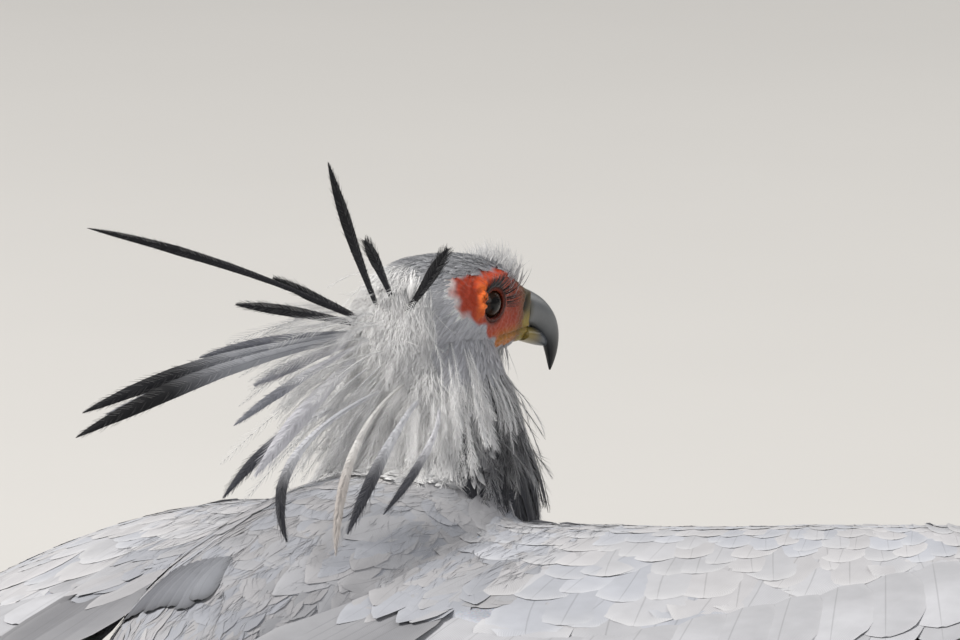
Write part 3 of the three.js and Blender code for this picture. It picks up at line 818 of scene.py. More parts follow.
class SkinMap:
    """Finds points, normals and unwrap places on the skin."""

    def __init__(self, obj):
        mesh = obj.data
        mesh.calc_loop_triangles()
        self.points = read(mesh.vertices, "co", 3) / MM
        self.normals = read(mesh.vertices, "normal", 3)
        self.corners = read(mesh.loop_triangles, "vertices", 3, np.int32)
        loops = read(mesh.loop_triangles, "loops", 3, np.int32)
        self.uv = read(mesh.uv_layers["OFBake"].uv, "vector", 2, np.float32)[loops]
        a, b, c = (self.points[self.corners[:, i]] for i in range(3))
        self.area = np.linalg.norm(np.cross(b - a, c - a), axis=1) / 2
        self.tree = BVHTree.FromPolygons(self.points.tolist(), self.corners.tolist())
        points, faces = merge([(self.points, self.corners), *flight_sheets()])
        self.bed = BVHTree.FromPolygons(points.tolist(), faces.tolist())

    def sample(self, count, weight, apart=None):
        """Random places by the weight of the triangles, perhaps some distance apart, and their count."""
        centres = self.points[self.corners].mean(1)
        share = self.area * weight(centres)
        chosen = rng.choice(len(share), size=count, p=share / share.sum())
        r, s = rng.random((2, count))
        over = r + s > 1
        r[over], s[over] = 1 - r[over], 1 - s[over]
        w = np.stack([1 - r - s, r, s], -1)[..., None]
        place = (self.points[self.corners[chosen]] * w).sum(1)
        normal = unit((self.normals[self.corners[chosen]] * w).sum(1))
        uv = (self.uv[chosen] * w).sum(1)
        kept = slice(None) if apart is None else spread(place, apart)
        place = place[kept]
        return place, normal[kept], uv[kept], len(place)

    def nearest(self, places):
        """The nearest points of the skin or the flight feathers, the normals there and how far they are."""
        hits = [self.bed.find_nearest(p) for p in places.tolist()]
        return tuple(np.array([hit[i] for hit in hits]) for i in (0, 1, 3))

    def top_at(self, x, y):
        """The skin's highest points over some places, and the normals there."""
        hits = [self.tree.ray_cast((*place, 400), (0, 0, -1)) for place in zip(x, y)]
        return tuple(np.array([hit[i] for hit in hits]) for i in (0, 1))

    def unwrap(self, places):
        """The unwrap place of the skin nearest to each point."""
        return np.array([self.uv[self.tree.find_nearest(p)[2]].mean(0) for p in places.tolist()])


def spread(places, distance):
    """The indices of places that are all at least a distance apart."""
    around = [(i, j, k) for i in (-1, 0, 1) for j in (-1, 0, 1) for k in (-1, 0, 1)]
    cells, kept = {}, []
    for i, (x, y, z) in enumerate(np.floor(places / distance).astype(int).tolist()):
        others = [n for a, b, c in around for n in cells.get((x + a, y + b, z + c), ())]
        if not others or ((places[others] - places[i]) ** 2).sum(1).min() >= distance**2:
            cells.setdefault((x, y, z), []).append(i)
            kept.append(i)
    return np.array(kept)


# Feathers

PATCH = 0.0015  # half the width of a feather's patch in the bake map


class Coat:
    """Collects feathers and makes them into pieces of less than 200,000 triangles."""

    LIMIT = 95000  # faces with four corners

    def __init__(self, name, material, slot):
        self.name, self.material, self.slot = name, material, slot
        self.parts = []
        self.offset = 0

    def add(self, points, faces, colours, bake, vane):
        """points is feather by point by 3, and faces index the points of one feather."""
        count, each = points.shape[:2]
        step = (np.arange(count) * each)[:, None, None] + self.offset
        faces = (faces[None] + step).reshape(-1, faces.shape[1])
        colours = np.clip(colours.reshape(-1, 3), 0, 1)
        self.parts.append((points.reshape(-1, 3), faces, colours, bake.reshape(-1, 2), vane.reshape(-1, 2)))
        self.offset += count * each

    def build(self):
        points, faces, colours, bake, vane = (np.concatenate(part) for part in zip(*self.parts))
        points[:, 2] = np.maximum(points[:, 2], 0.3)
        parts = max(1, math.ceil(len(faces) / self.LIMIT))
        made = []
        for i, chunk in enumerate(np.array_split(np.arange(len(faces)), parts)):
            low, high = faces[chunk].min(), faces[chunk].max() + 1
            name = self.name if parts == 1 else f"{self.name}_{i + 1}"
            window = slice(low, high)
            obj = make_object(name, points[window], faces[chunk] - low, self.material,
                              colours[window], bake[window], vane[window])
            made.append(obj)
        return made


def patches(bake, s, t):
    """A small patch of the bake map for each feather, with its points at shares across and along."""
    return bake[:, None] + np.stack([s * PATCH, (t - 0.5) * 2 * PATCH], -1)[None]


def crossed(centre, facing):
    """Side and up at every station of some lines, with up as near as it can be to a direction."""
    slope = unit(np.gradient(centre, axis=1))
    side = unit(np.cross(slope, facing))
    return side, np.cross(side, slope)


def sprung(root, ahead, out, length, rise, end_rise):
    """Bend and tip of feathers that spring from the root and stand off it by shares of their length."""
    bend = root + ahead * length * 0.5 + out * length * rise
    return bend, root + ahead * length + out * length * end_rise


def vane_template(stations, columns):
    """Shares along and across for the two faces of a vane, and the faces that join them."""
    t = np.repeat(stations, columns)
    s = np.tile(np.linspace(-1, 1, columns), len(stations))
    upper = grid_faces(len(stations), columns)
    lower = upper[:, ::-1] + len(t)
    return np.tile(t, 2), np.tile(s, 2), np.repeat([1.0, -1.0], len(t)), np.concatenate([upper, lower])


def add_vanes(coat, centre, side, up, width, profile, stations, columns, bake, colour, camber, thick,
              length, fray):
    """Feathers on given middle lines (feather by station by 3), with side and up at every station.

    colour(t, s) gives each feather's colour at shares along and across, as feather by point by 3.
    """
    count = len(centre)
    t, s, face, faces = vane_template(stations, columns)
    row = np.searchsorted(stations, t)
    half = width[:, None] * np.interp(stations, *zip(*profile))[None] / 2
    rough = np.tile(1 + fray * rng.uniform(-1, 1, (count, len(t) // 2)), 2)
    across = s[None] * half[:, row] * np.where(np.abs(s) > 0.99, rough, 1)
    height = -camber * np.abs(s[None]) ** 1.6 * half[:, row] * 2
    height = height + face[None] * thick * 0.5 * (1 - np.abs(s[None]))
    points = centre[:, row] + side[:, row] * across[..., None] + up[:, row] * height[..., None]
    vane = xyz(0.5 + s / 2, t[None] * length[:, None] / 100)
    coat.add(points, faces, colour(t, s), patches(bake, s, t), vane)


def drape(skin_map, roots, ahead, normal, length, stations, sway=None, cling=7.0, limit=-0.3):
    """Middle lines that start at the roots and follow the skin, with the skin's normal at every station.

    A line runs straight on past the skin's edge, and where the skin turns away from the root's normal by
    more than the limit, a cosine.
    """
    count = len(roots)
    here, up, way = roots.copy(), normal.copy(), unit(ahead)
    sway = np.zeros(count) if sway is None else sway
    lines = np.zeros((count, len(stations), 3))
    ups = np.zeros((count, len(stations), 3))
    for i, t in enumerate(stations):
        if i > 0:
            share = t - stations[i - 1]
            turn = np.cross(way, up) * (sway * share)[:, None]
            way = unit(way - (way * up).sum(1, keepdims=True) * up + turn)
            here = here + way * (length * share)[:, None]
            found, found_up, gap = skin_map.nearest(here)
            slip = np.abs(((found - here) * way).sum(1))
            close = (gap < cling) & (slip < 0.5 * gap + 0.4) & ((found_up * up).sum(1) > 0.2)
            close = close & ((found_up * normal).sum(1) > limit)
            here = np.where(close[:, None], found, here)
            up = np.where(close[:, None], unit(up * 0.35 + found_up * 0.65), up)
        lines[:, i] = here
        ups[:, i] = up
    return lines, ups


def lay_feathers(coat, skin_map, roots, ahead, normal, uv, length, width, colour, edge, profile, *,
                 stations=(0, 0.25, 0.5, 0.7, 0.86, 0.95, 1), columns=5, rise=(0.3, 2.2), camber=0.08,
                 thick=0.35, sway=None, fray=0.0, shade=0.86, cling=7.0, limit=-0.3):
    """Small feathers that lie along the skin, each tip a little above its root."""
    stations = np.array(stations, float)
    lines, ups = drape(skin_map, roots, ahead, normal, length, stations, sway, cling, limit)
    tips = rise[1] * jitter(len(roots), 0.3)
    lift = (rise[0] + (tips[:, None] - rise[0]) * stations[None] ** 1.3)[..., None]
    centre = lines + ups * lift
    sides, ups = crossed(centre, ups)

    def paint(t, s):
        rim = np.clip(np.abs(s) ** 4 * 0.7 + t**8, 0, 1)[None, :, None]
        # Painted shade: each feather is darkened towards its root, where the feathers over it would shade
        # it; shade is its level at the root
        root = smoothstep(0.0, 0.6, t)[None, :, None]
        return (colour[:, None] * (1 - rim) + edge[:, None] * rim) * (shade + (1 - shade) * root)

    add_vanes(coat, centre, sides, ups, width, profile, stations, columns, uv, paint, camber, thick,
              length, fray)


def tubes(coat, centre, up, uv, width, start, end):
    """Fine tapered filaments of three sides on given lines."""
    count, steps = centre.shape[:2]
    t = np.linspace(0, 1, steps)
    side, over = crossed(centre, up)
    angle = np.array([0, 2 * np.pi / 3, 4 * np.pi / 3])[None, None, :, None]
    thin = (width[:, None] * (1 - 0.85 * t**1.5))[..., None, None] / 2
    around = side[:, :, None] * np.cos(angle) + over[:, :, None] * np.sin(angle) * 0.6
    points = (centre[:, :, None] + around * thin).reshape(count, steps * 3, 3)
    row = np.repeat(t, 3)
    fade = row[None, :, None]
    colours = start[:, None] * (1 - fade) + end[:, None] * fade
    vane = np.tile(xyz(np.tile([0.3, 0.5, 0.7], steps), row), (count, 1, 1))
    bake = patches(uv, np.tile([-1, 0, 1], steps), row)
    coat.add(points, grid_faces(steps, 3, closed=True), colours, bake, vane)


def strands(coat, roots, ahead, normal, uv, length, width, colour, *, lift=0.3, hug=0.2, sway=None, steps=5):
    """Fine tapered filaments that rise from the skin and bend."""
    count = len(roots)
    ahead = unit(ahead)
    t = np.linspace(0, 1, steps)[None, :, None]
    side = unit(np.cross(ahead, normal)) * (np.zeros(count) if sway is None else sway)[:, None]
    lift, hug = (np.broadcast_to(v, count)[:, None, None] for v in (lift, hug))
    curve = ahead[:, None] * t + normal[:, None] * (lift * t - hug * t * t) + side[:, None] * t * t
    centre = roots[:, None] + length[:, None, None] * curve
    tubes(coat, centre, normal[:, None], uv, np.full(count, width), colour * 0.8, colour)


def flat_strands(coat, skin_map, roots, ahead, normal, uv, length, width, colour, rise):
    """Fine filaments that follow the skin just over the feathers."""
    stations = np.linspace(0, 1, 4)
    lines, ups = drape(skin_map, roots, ahead, normal, length, stations, rng.normal(0, 0.35, len(roots)))
    high = rise[0] + (rise[1] - rise[0]) * stations
    centre = lines + ups * high[None, :, None]
    tubes(coat, centre, ups, uv, np.full(len(roots), width), colour * 0.95, colour)


def plumes(coat, root, bend, tip, normal, uv, width, start, end, profile, barbs, thin=0.4, shaft=0.7,
           loose=0.12):
    """Loose feathers: a shaft, and separate barbs that leave it on both sides and bend towards its tip."""
    count = len(root)
    centre = bezier(root, bend, tip, np.linspace(0, 1, 8))
    tubes(coat, centre, normal[:, None], uv, np.full(count, shaft), start * 0.85, end * 0.85)
    t = np.linspace(0.06, 0.985, barbs)
    place = bezier(root, bend, tip, t)
    slope = unit(bezier(root, bend, tip, np.minimum(t + 0.01, 1)) - bezier(root, bend, tip, t - 0.01))
    side = unit(np.cross(slope, normal[:, None]))
    half = width[:, None] * np.interp(t, *zip(*profile))[None] / 2
    facing, patch = np.repeat(normal, barbs, 0)[:, None], np.repeat(uv, barbs, 0)
    share = np.tile(smoothstep(0.45, 0.72, t), count)
    for sign in (-1, 1):
        angle = np.radians(44 - 24 * t)[None, :, None] * rng.uniform(1 - loose, 1 + loose, (count, barbs, 1))
        way = slope * np.cos(angle) + side * sign * np.sin(angle)
        long = half / np.sin(np.radians(40 - 20 * t))[None]
        long = long * rng.uniform(1 - loose, 1 + loose, (count, barbs))
        away = normal[:, None] * rng.normal(0, loose, (count, barbs, 1))
        middle = place + (way + away) * long[..., None] * 0.5
        end_at = place + (way * 0.9 + slope * 0.25 + away * 1.5) * long[..., None]
        line = np.stack([place, middle, end_at], 2).reshape(-1, 3, 3)
        tone = mixed(np.repeat(start, barbs, 0), np.repeat(end, barbs, 0), share)
        tone = tone * jitter(len(tone), 0.1)[:, None]
        tubes(coat, line, facing, patch, np.full(len(line), thin), tone * 0.92, tone)


# Outlines of feathers: share of the length and share of the full width
ROUND = [[0, 0.35], [0.3, 0.85], [0.6, 1], [0.8, 0.94], [0.9, 0.76], [0.96, 0.54], [1, 0.28]]
POINTED = [[0, 0.5], [0.3, 0.95], [0.55, 1], [0.8, 0.6], [1, 0.06]]
FLIGHT_SHAPE = [[0, 0.3], [0.16, 0.72], [0.45, 1], [0.8, 0.95], [0.93, 0.7], [0.98, 0.42], [1, 0.12]]
LANCE = [[0, 0.3], [0.3, 0.5], [0.58, 0.9], [0.72, 1], [0.86, 0.74], [0.95, 0.36], [1, 0.05]]


# Where the coat runs and what colour it is

def jitter(count, amount):
    return 1 + rng.uniform(-amount, amount, count)


def wobble(v, amount):
    """Directions turned a little at random."""
    return unit(v + rng.normal(0, amount, v.shape))


def neck_share(p):
    """1 on the neck and head, 0 on the body, smooth over the shoulders."""
    reach = np.hypot(p[:, 0] - 125, p[:, 1])
    outside = smoothstep(70, 95, reach) * (1 - smoothstep(175, 190, p[:, 2]))
    return smoothstep(158, 196, p[:, 2]) * (1 - outside)


def flow(p, normal):
    """The direction in which feathers lie at places on the skin."""
    x, y, _ = p.T
    out = np.sign(y)
    back = xyz(-1, 0.22 * out * smoothstep(30, 90, np.abs(y)), -0.15)
    down = np.array([-0.25, 0, -1.0]) + unit(xyz(x - 128, y - 1, 0)) * 0.25
    angle = np.radians(np.interp(np.clip((np.abs(y) - 110) / 230, 0, 1), [0, 1], [2, 30]))
    wing = xyz(-np.cos(angle), out * np.sin(angle), -0.1)
    mix = mixed(mixed(back, wing, smoothstep(78, 112, np.abs(y))), down, neck_share(p))
    return unit(mix - (mix * normal).sum(1, keepdims=True) * normal)


def body_colour(p):
    """Grey above and on the breast, black on the belly's rear, the flanks and the thighs."""
    x, y, z = p.T
    low = (1 - smoothstep(48, 84, z)) * smoothstep(-60, 60, 40 - x) * (1 - smoothstep(118, 132, np.abs(y)))
    return painted(
        GREY,
        (PALE_GREY, smoothstep(20, 110, x) * 0.7),
        (WHITE * 0.7, smoothstep(120, 190, -x) * smoothstep(66, 84, z) * 0.5),
        (neck_colour(p), neck_share(p)),
        (BLACK, low),
    )


def patchy(colour, share=0.35):
    """Each feather a little bluer or a little warmer than the next."""
    pick = rng.random(len(colour))
    cool, warm = colour * [0.92, 0.95, 1.0], colour * [1.02, 1.0, 0.98]
    tone = painted(colour, (cool, (pick < share) * 0.9), (warm, (pick > 1 - share) * 0.9))
    return tone * jitter(len(colour), 0.07)[:, None]


def dress_body(skin_map, coat, hair):
    """Contour feathers over the trunk, the shoulders and the thighs, with their loose barbs."""
    def weight(c):
        x, z = c[:, 0], c[:, 2]
        far = np.abs(c[:, 1])
        top = (z > 60) & (far < 130) & (x > -20)
        on_wing = (far > 112) & ~((z < 60) & (far < 128) & (x < 60)) & ~top
        edge = (far > 92) & (x < -20) & (z > 60)
        return np.where(on_wing | edge | (z > 190) | (z < 3), 0, 1.0)

    p, n, uv, _ = skin_map.sample(BODY_DRAWS, weight, BODY_APART)
    near_wing = (np.abs(p[:, 1]) > 66) & (p[:, 2] > 60) & (p[:, 0] < 60)
    kept = ~(near_wing & (flow(p, n)[:, 2] > 0.12))
    p, n, uv = p[kept], n[kept], uv[kept]
    count = len(p)
    limit = np.where((np.abs(p[:, 1]) > 55) & (p[:, 2] > 95) & (n[:, 2] > 0.8), 0.8, -0.3)
    back = smoothstep(-120, 40, -p[:, 0]) * smoothstep(80, 130, p[:, 2])
    length = (34 + 14 * back) * jitter(count, 0.2)
    width = (20 + 6 * back) * jitter(count, 0.15)
    colour = patchy(body_colour(p))
    lay_feathers(coat, skin_map, p, wobble(flow(p, n), 0.07), n, uv, length, width, colour,
                 mixed(colour, WHITE, 0.07), ROUND, rise=(0.2, 0.8), sway=rng.normal(0, 0.25, count),
                 camber=0.02, thick=0.2, fray=0.03, shade=0.96, limit=limit)
    p, n, uv, count = skin_map.sample(BODY_BARBS, weight)
    tone = mixed(body_colour(p), WHITE, rng.random(count) * 0.08) * jitter(count, 0.06)[:, None]
    flat_strands(hair, skin_map, p, wobble(flow(p, n), 0.1), n, uv, rng.uniform(10, 22, count), 0.32, tone,
                 (0.9, 1.9))
    tertials(coat, skin_map)
    scapulars(coat, skin_map)
    scapular_fan(coat, skin_map)


# Long soft feathers that cover each wing's root: how far ahead, how far out, length and width of each row
SCAPULAR_ROWS = [
    [-44, 110, 58, 24],
    [-28, 112, 60, 25],
    [-10, 110, 60, 25],
    [10, 106, 58, 24],
]


def scapulars(coat, skin_map):
    count = SCAPULARS_IN_ROW
    for side in (-1, 1):
        for x, far, length, width in SCAPULAR_ROWS:
            out = np.linspace(40, far, count) + rng.uniform(-3, 3, count)
            root, normal = skin_map.top_at(x + rng.uniform(-6, 6, count), side * out)
            ahead = np.tile([-1.0, side * 0.08, 0.0], (count, 1))
            tone = patchy(mixed(GREY, PALE_GREY, np.full(count, 0.35)))
            lay_feathers(coat, skin_map, root, wobble(ahead, 0.1), normal, skin_map.unwrap(root),
                         length * jitter(count, 0.2), width * jitter(count, 0.1), tone,
                         mixed(tone, WHITE, 0.08), POINTED, rise=(0.8, 1.6), camber=0.03, thick=0.25,
                         fray=0.04, shade=0.95, sway=rng.normal(0, 0.25, count), limit=0.8)


def tertials(coat, skin_map):
    """Long feathers that close the space between each wing's first flight feather and the body."""
    count = TERTIALS
    share = np.linspace(0, 1, count)
    for side, darkness in ((-1, 0.05), (1, 0.35)):
        root, normal = skin_map.top_at(np.full(count, -46.0), side * (70 + 38 * share))
        ahead = np.tile([-1.0, side * -0.06, -0.16], (count, 1))
        tone = mixed(GREY, CHARCOAL, darkness + 0.25 * share)
        lay_feathers(coat, skin_map, root, ahead, normal, skin_map.unwrap(root), 150 * jitter(count, 0.08),
                     np.full(count, 38.0), tone, mixed(tone, WHITE, 0.1), FLIGHT_SHAPE, rise=(-0.5, 0.5),
                     camber=0.03, thick=0.4, columns=7, fray=0.02, cling=3, limit=0.9)


# Dark feathers that show on the rump: where the first one is rooted, ahead and aside, and their length
FAN_ROOT = [-90.0, 6.0]
FAN_LENGTH = 56.0


def scapular_fan(coat, skin_map):
    count = RUMP_FAN
    share = np.linspace(0, 1, count)
    root, normal = skin_map.top_at(FAN_ROOT[0] - 6 * share, FAN_ROOT[1] + 30 * share)
    tone = mixed(FAN_PALE, FAN_DARK, share)
    lay_feathers(coat, skin_map, root, xyz(-1, 0.1 + 0.4 * share, 0), normal, skin_map.unwrap(root),
                 FAN_LENGTH * jitter(count, 0.1), np.full(count, 17.0), tone, tone * 0.45, ROUND,
                 rise=(1.4, 2.8), sway=np.full(count, -0.45), camber=0.1)


def surface_frame(part, span, chord, top):
    """Points and outward normals on a wing."""
    def at(along_span, along_chord):
        return wing_surface(part, np.clip(span + along_span, 0, 1), np.clip(chord + along_chord, 0, 1), top)

    normal = unit(np.cross(at(0.01, 0) - at(-0.01, 0), at(0, 0.02) - at(0, -0.02)))
    flip = np.where(normal[:, 2] * (1 if top else -1) < 0, -1, 1)[:, None]
    return at(0, 0), normal * flip


# Covert rows on an arm and on a hand: share of chord, spacing, length, width
ARM_ROWS = [
    [0.0, 7, 18, 14],
    [0.025, 8.5, 24, 17],
    [0.06, 11, 32, 22],
    [0.11, 14, 42, 28],
    [0.18, 17, 52, 36],
    [0.28, 20, 60, 43],
    [0.41, 22, 66, 48],
    [0.56, 23, 72, 50],
    [0.74, 24, 78, 50],
]
HAND_ROWS = [
    [0.0, 5.5, 15, 11],
    [0.06, 6.5, 20, 14],
    [0.15, 8, 26, 18],
    [0.27, 9.5, 33, 22],
    [0.42, 11, 42, 26],
    [0.6, 13, 52, 30],
    [0.78, 15, 60, 32],
]
COVERT = [[0, 0.6], [0.25, 0.95], [0.5, 1], [0.68, 0.95], [0.8, 0.82], [0.9, 0.6], [0.96, 0.37], [1, 0.1]]


def fan_ahead(side, fan, share):
    """The level directions of a fan of feathers at shares of its span."""
    return heading(np.pi - side * np.radians(along((fan["first"], fan["last"]), share)))


def covert_rows(coat, skin_map, name, hand, top):
    """Rows of rounded coverts from a wing's leading edge back, each row under the one before."""
    wing = WINGS[name]
    part = wing_part(name, hand)
    edge_points = wing_edges(*part, np.linspace(0, 1, 40))[0]
    span_length = np.linalg.norm(np.diff(edge_points, axis=0), axis=1).sum()
    rows = HAND_ROWS if hand else ARM_ROWS
    for row, (chord, step, length, width) in enumerate(rows if top else rows[:-1]):
        count = int(span_length / step)
        start = 0.0 if hand else 0.1 + 0.35 * chord
        order = np.arange(count) + 0.5 * (row % 2) + rng.uniform(-0.25, 0.25, count)
        span = np.clip(start + (1 - start) * order / count, 0, 0.995)
        share = np.clip(chord + rng.uniform(-0.3, 0.3, count) * chord * 0.5, 0, 0.95)
        ahead = wobble(fan_ahead(wing["side"], wing["primaries" if hand else "secondaries"], span), 0.06)
        tone = PALE_GREY if top else WHITE * 0.62
        if hand:
            tone = mixed(tone, CHARCOAL, 0.1 + 0.7 * chord)
        colour = patchy(np.tile(tone, (count, 1)))
        if chord > 0.3:
            span = start + (span - start) * 0.95
        place, normal = surface_frame(part, span, share, top)
        # The coverts' paler edges: partly their own pale fringes, partly a painted highlight
        lay_feathers(coat, skin_map, place, ahead, normal, skin_map.unwrap(place),
                     length * jitter(count, 0.16), width * jitter(count, 0.1), colour,
                     mixed(colour, WHITE, 0.25), COVERT, rise=(0.4, 1.0), camber=0.012,
                     columns=7 if top else 5, thick=0.25, sway=rng.normal(0, 0.15, count), fray=0.02,
                     shade=0.93, cling=15, limit=0.8 if chord > 0.2 else -0.2)


def feather_lines(name, hand, raise_by, share=1.0, drop_share=1.0):
    """Root, bend, tip and length of a wing's fan of long feathers, as in the solids."""
    group = PRIMARIES if hand else SECONDARIES
    fan = WINGS[name]["primaries" if hand else "secondaries"]
    t = np.linspace(0, 1, group["count"])
    ahead = fan_ahead(WINGS[name]["side"], fan, t)
    front, back, _ = wing_edges(*wing_part(name, hand), along(group["span"], t))
    root = front + (back - front) * ROOT_SHARE + [0, 0, raise_by]
    reach = along(group["length"], t) * share
    fall = xyz(0, 0, along(fan["drop"], t) * share * drop_share)
    forth = ahead * reach[:, None]
    return root, root + forth * 0.5 - fall * 0.3, root + forth - fall, reach


# Shares of its length at which a long feather has its points
LONG_STATIONS = np.array([0, 0.05, 0.1, 0.16, 0.22, 0.3, 0.38, 0.46, 0.54, 0.62, 0.7, 0.78, 0.85, 0.91,
                          0.95, 0.98, 1])


def long_feathers(coat, lines, width, profile, uv, paint, roll, camber=0.06):
    """Flight feathers or large coverts on curves; gives what their shafts need."""
    root, bend, tip, reach = lines
    centre = bezier(root, bend, tip, LONG_STATIONS)
    slope = unit(np.gradient(centre, axis=1))
    neighbour = np.gradient(centre, axis=0)
    sides = unit(neighbour - (neighbour * slope).sum(-1, keepdims=True) * slope)
    ups = np.cross(slope, sides)
    ups = ups * np.where(ups[..., 2:] < 0, -1.0, 1.0)
    sides, ups = rolled(sides, ups, roll)
    add_vanes(coat, centre, sides, ups, width * jitter(len(root), 0.04), profile, LONG_STATIONS, 9, uv,
              paint, camber, 0.5, reach, 0.03)
    return centre, sides, ups, uv, np.full(len(root), width * 0.04 + 0.5)


def add_shafts(coat, centre, side, up, uv, width, colour):
    """Four-sided tapered shafts that stand a little proud of their vanes on both faces."""
    count, rows = centre.shape[:2]
    t = np.linspace(0, 1, rows)
    thin = (width[:, None] * (1 - 0.82 * t))[..., None, None] / 2
    ring = np.array([[1, 0], [0, 1], [-1, 0], [0, -1]], float)
    around = side[:, :, None] * ring[None, None, :, :1] + up[:, :, None] * ring[None, None, :, 1:] * 0.9
    points = (centre[:, :, None] + around * thin).reshape(count, rows * 4, 3)
    row = np.repeat(t, 4)
    vane = np.tile(xyz(0.5, row), (count, 1, 1))
    coat.add(points, grid_faces(rows, 4, closed=True), np.tile(colour, (count, rows * 4, 1)),
             patches(uv, np.tile([-1, 0, 1, 0], rows), row), vane)


def flight_paint(base, edge, root_colour, count):
    """Dark vanes, paler and browner at the root, with a thin light edge."""
    tone = base[None] * jitter(count, 0.15)[:, None]

    def paint(t, s):
        rooted = (1 - smoothstep(0.15, 0.6, t))[None]
        return painted(tone[:, None], (root_colour, rooted), (edge, (np.abs(s) > 0.95)[None] * 0.25))

    return paint


def dress_wing(skin_map, name, flight, small, shafts):
    """Flight feathers, two tiers of large coverts above, one below, and rows of small coverts."""
    for hand, group, dark, above, below in (
        (False, SECONDARIES, CHARCOAL, PALE_GREY, WHITE * 0.6),
        (True, PRIMARIES, BLACK, CHARCOAL, CHARCOAL),
    ):
        reach = 0.8 if hand else 1.0
        upper_tones = (above, mixed(above, WHITE, 0.2), above * 0.9)
        tiers = [
            [flight, (-1.5, 1.0, 1.0), 1.0, FLIGHT_SHAPE, (dark, BROWN_GREY, BROWN_GREY), 1.0, 0.06],
            [small, (3.5, 0.36 * reach, 0.7), 1.05, COVERT, upper_tones, 0.35, 0.03],
            [small, (5.5, 0.3 * reach, 0.7), 1.05, COVERT, upper_tones, 0.35, 0.03],
            [small, (-6, 0.3, 0.9), 0.9, ROUND, (below, WHITE, WHITE * 0.6), 1.0, 0.05],
        ]
        for coat, place, wide, profile, tones, roll, camber in tiers:
            lines = feather_lines(name, hand, *place)
            paint = flight_paint(*tones, group["count"])
            made = long_feathers(coat, lines, group["width"] * wide, profile, skin_map.unwrap(lines[0]),
                                 paint, SHINGLE * roll, camber)
            if coat is flight:
                add_shafts(shafts, *made, SHAFT_BROWN)
        for top in (True, False):
            covert_rows(small, skin_map, name, hand, top)


def tail_paint(count, lengths):
    """Grey with a broad black band before a white tip."""
    tone = GREY[None] * jitter(count, 0.1)[:, None]

    def paint(t, s):
        end = (1 - t)[None] * lengths[:, None]
        band = smoothstep(*TAIL_BAND_START, end) * (1 - smoothstep(*TAIL_BAND_END, end))
        white = 1 - smoothstep(*TAIL_WHITE_END, end)
        return painted(tone[:, None], (BLACK, band), (WHITE * 0.85, white))

    return paint


def dress_tail(skin_map, flight, shafts):
    angle, length, width, tip_height = np.array(TAIL_PAIRS, float).T
    i = np.arange(len(angle))
    for side in (-1, 1):
        ahead = heading(np.pi - side * np.radians(angle)) * length[:, None]
        step = i * TAIL_STEP + (TAIL_OFFSET if side > 0 else 0)
        root = TAIL_ROOT + xyz(-14, side * (16 - i * 2.4), step * 0.8 - 8)
        bend, tip = root + ahead * 0.5, root + ahead
        bend[:, 2] = 6 + step
        tip[:, 2] = np.where(np.isnan(tip_height), 2 + step, tip_height)
        uv = skin_map.unwrap(root)
        centre = bezier(root, bend, tip, LONG_STATIONS)
        across, up = crossed(centre, [0, 0, 1.0])
        across, up = rolled(-across, up, -side * math.radians(2))
        add_vanes(flight, centre, across, up, width, FLIGHT_SHAPE, LONG_STATIONS, 9, uv,
                  tail_paint(len(i), length), 0.05, 0.5, length, 0.03)
        add_shafts(shafts, centre, across, up, uv, np.full(len(i), 2.6), TAIL_SHAFT)


# Crest feathers in the head's frame: tip, rise of the middle, width, colour at the root and at the tip
CREST_ROOT = np.array([-42.0, 4.0, -12.0])
CREST = [
    [(-238, 40, 66), 12, 6.5, "26262b", "17171b"],
    [(-116, -24, 96), -10, 8, "26262b", "17171b"],
    [(-116, 20, 26), 0, 8, "2c2c31", "1b1b1f"],
    [(-139, 26, 13), 4, 8, "2c2c31", "1b1b1f"],
    [(-165, 28, -14), 8, 8, "8f9199", "6b6d75"],
    [(-248, 34, -35), 18, 11, "a5a7ad", "222226"],
    [(-268, 18, -44), 20, 12, "a5a7ad", "18181b"],
    [(-218, 48, -42), 14, 7, "b5b6bd", "7d7f87"],
    [(-160, 6, -50), 8, 7, "d9d9de", "8f9199"],
    [(-127, 24, -34), 6, 8, "d9d9de", "a0a1a8"],
    [(-146, 4, -80), 12, 12, "e4e4e8", "d0d0d6"],
]
CROWN = [
    [(-48, -14, 0), (-46, -47, 42), -3, 9, "1d1d21", "17171b"],
    [(-48, -8, 4), (-76, -12, 46), 4, 8, "2c2c31", "1b1b1f"],
]
# In the bird's frame: root, bend, tip, width, colours
DRAPED = [
    [(86, 10, 212), (-84, -6, 206), (-88, -30, 158), 9, "d4d5da", "2f3036"],
    [(88, -2, 216), (-44, -36, 212), (-70, -50, 149), 8, "d8d6d4", "b4aeaa"],
    [(90, -10, 208), (6, -40, 204), (-44, -42, 156), 10, "d4d5da", "3c3d44"],
    [(96, -18, 204), (44, -54, 198), (-12, -46, 162), 7, "d5d5da", "4c4d54"],
    [(88, 16, 206), (36, 44, 205), (-20, 52, 163), 9, "d4d5da", "4a4b52"],
]

# The side that the crest feathers show their flat faces to
CREST_FACING = [-0.75, -0.6, 0.3]


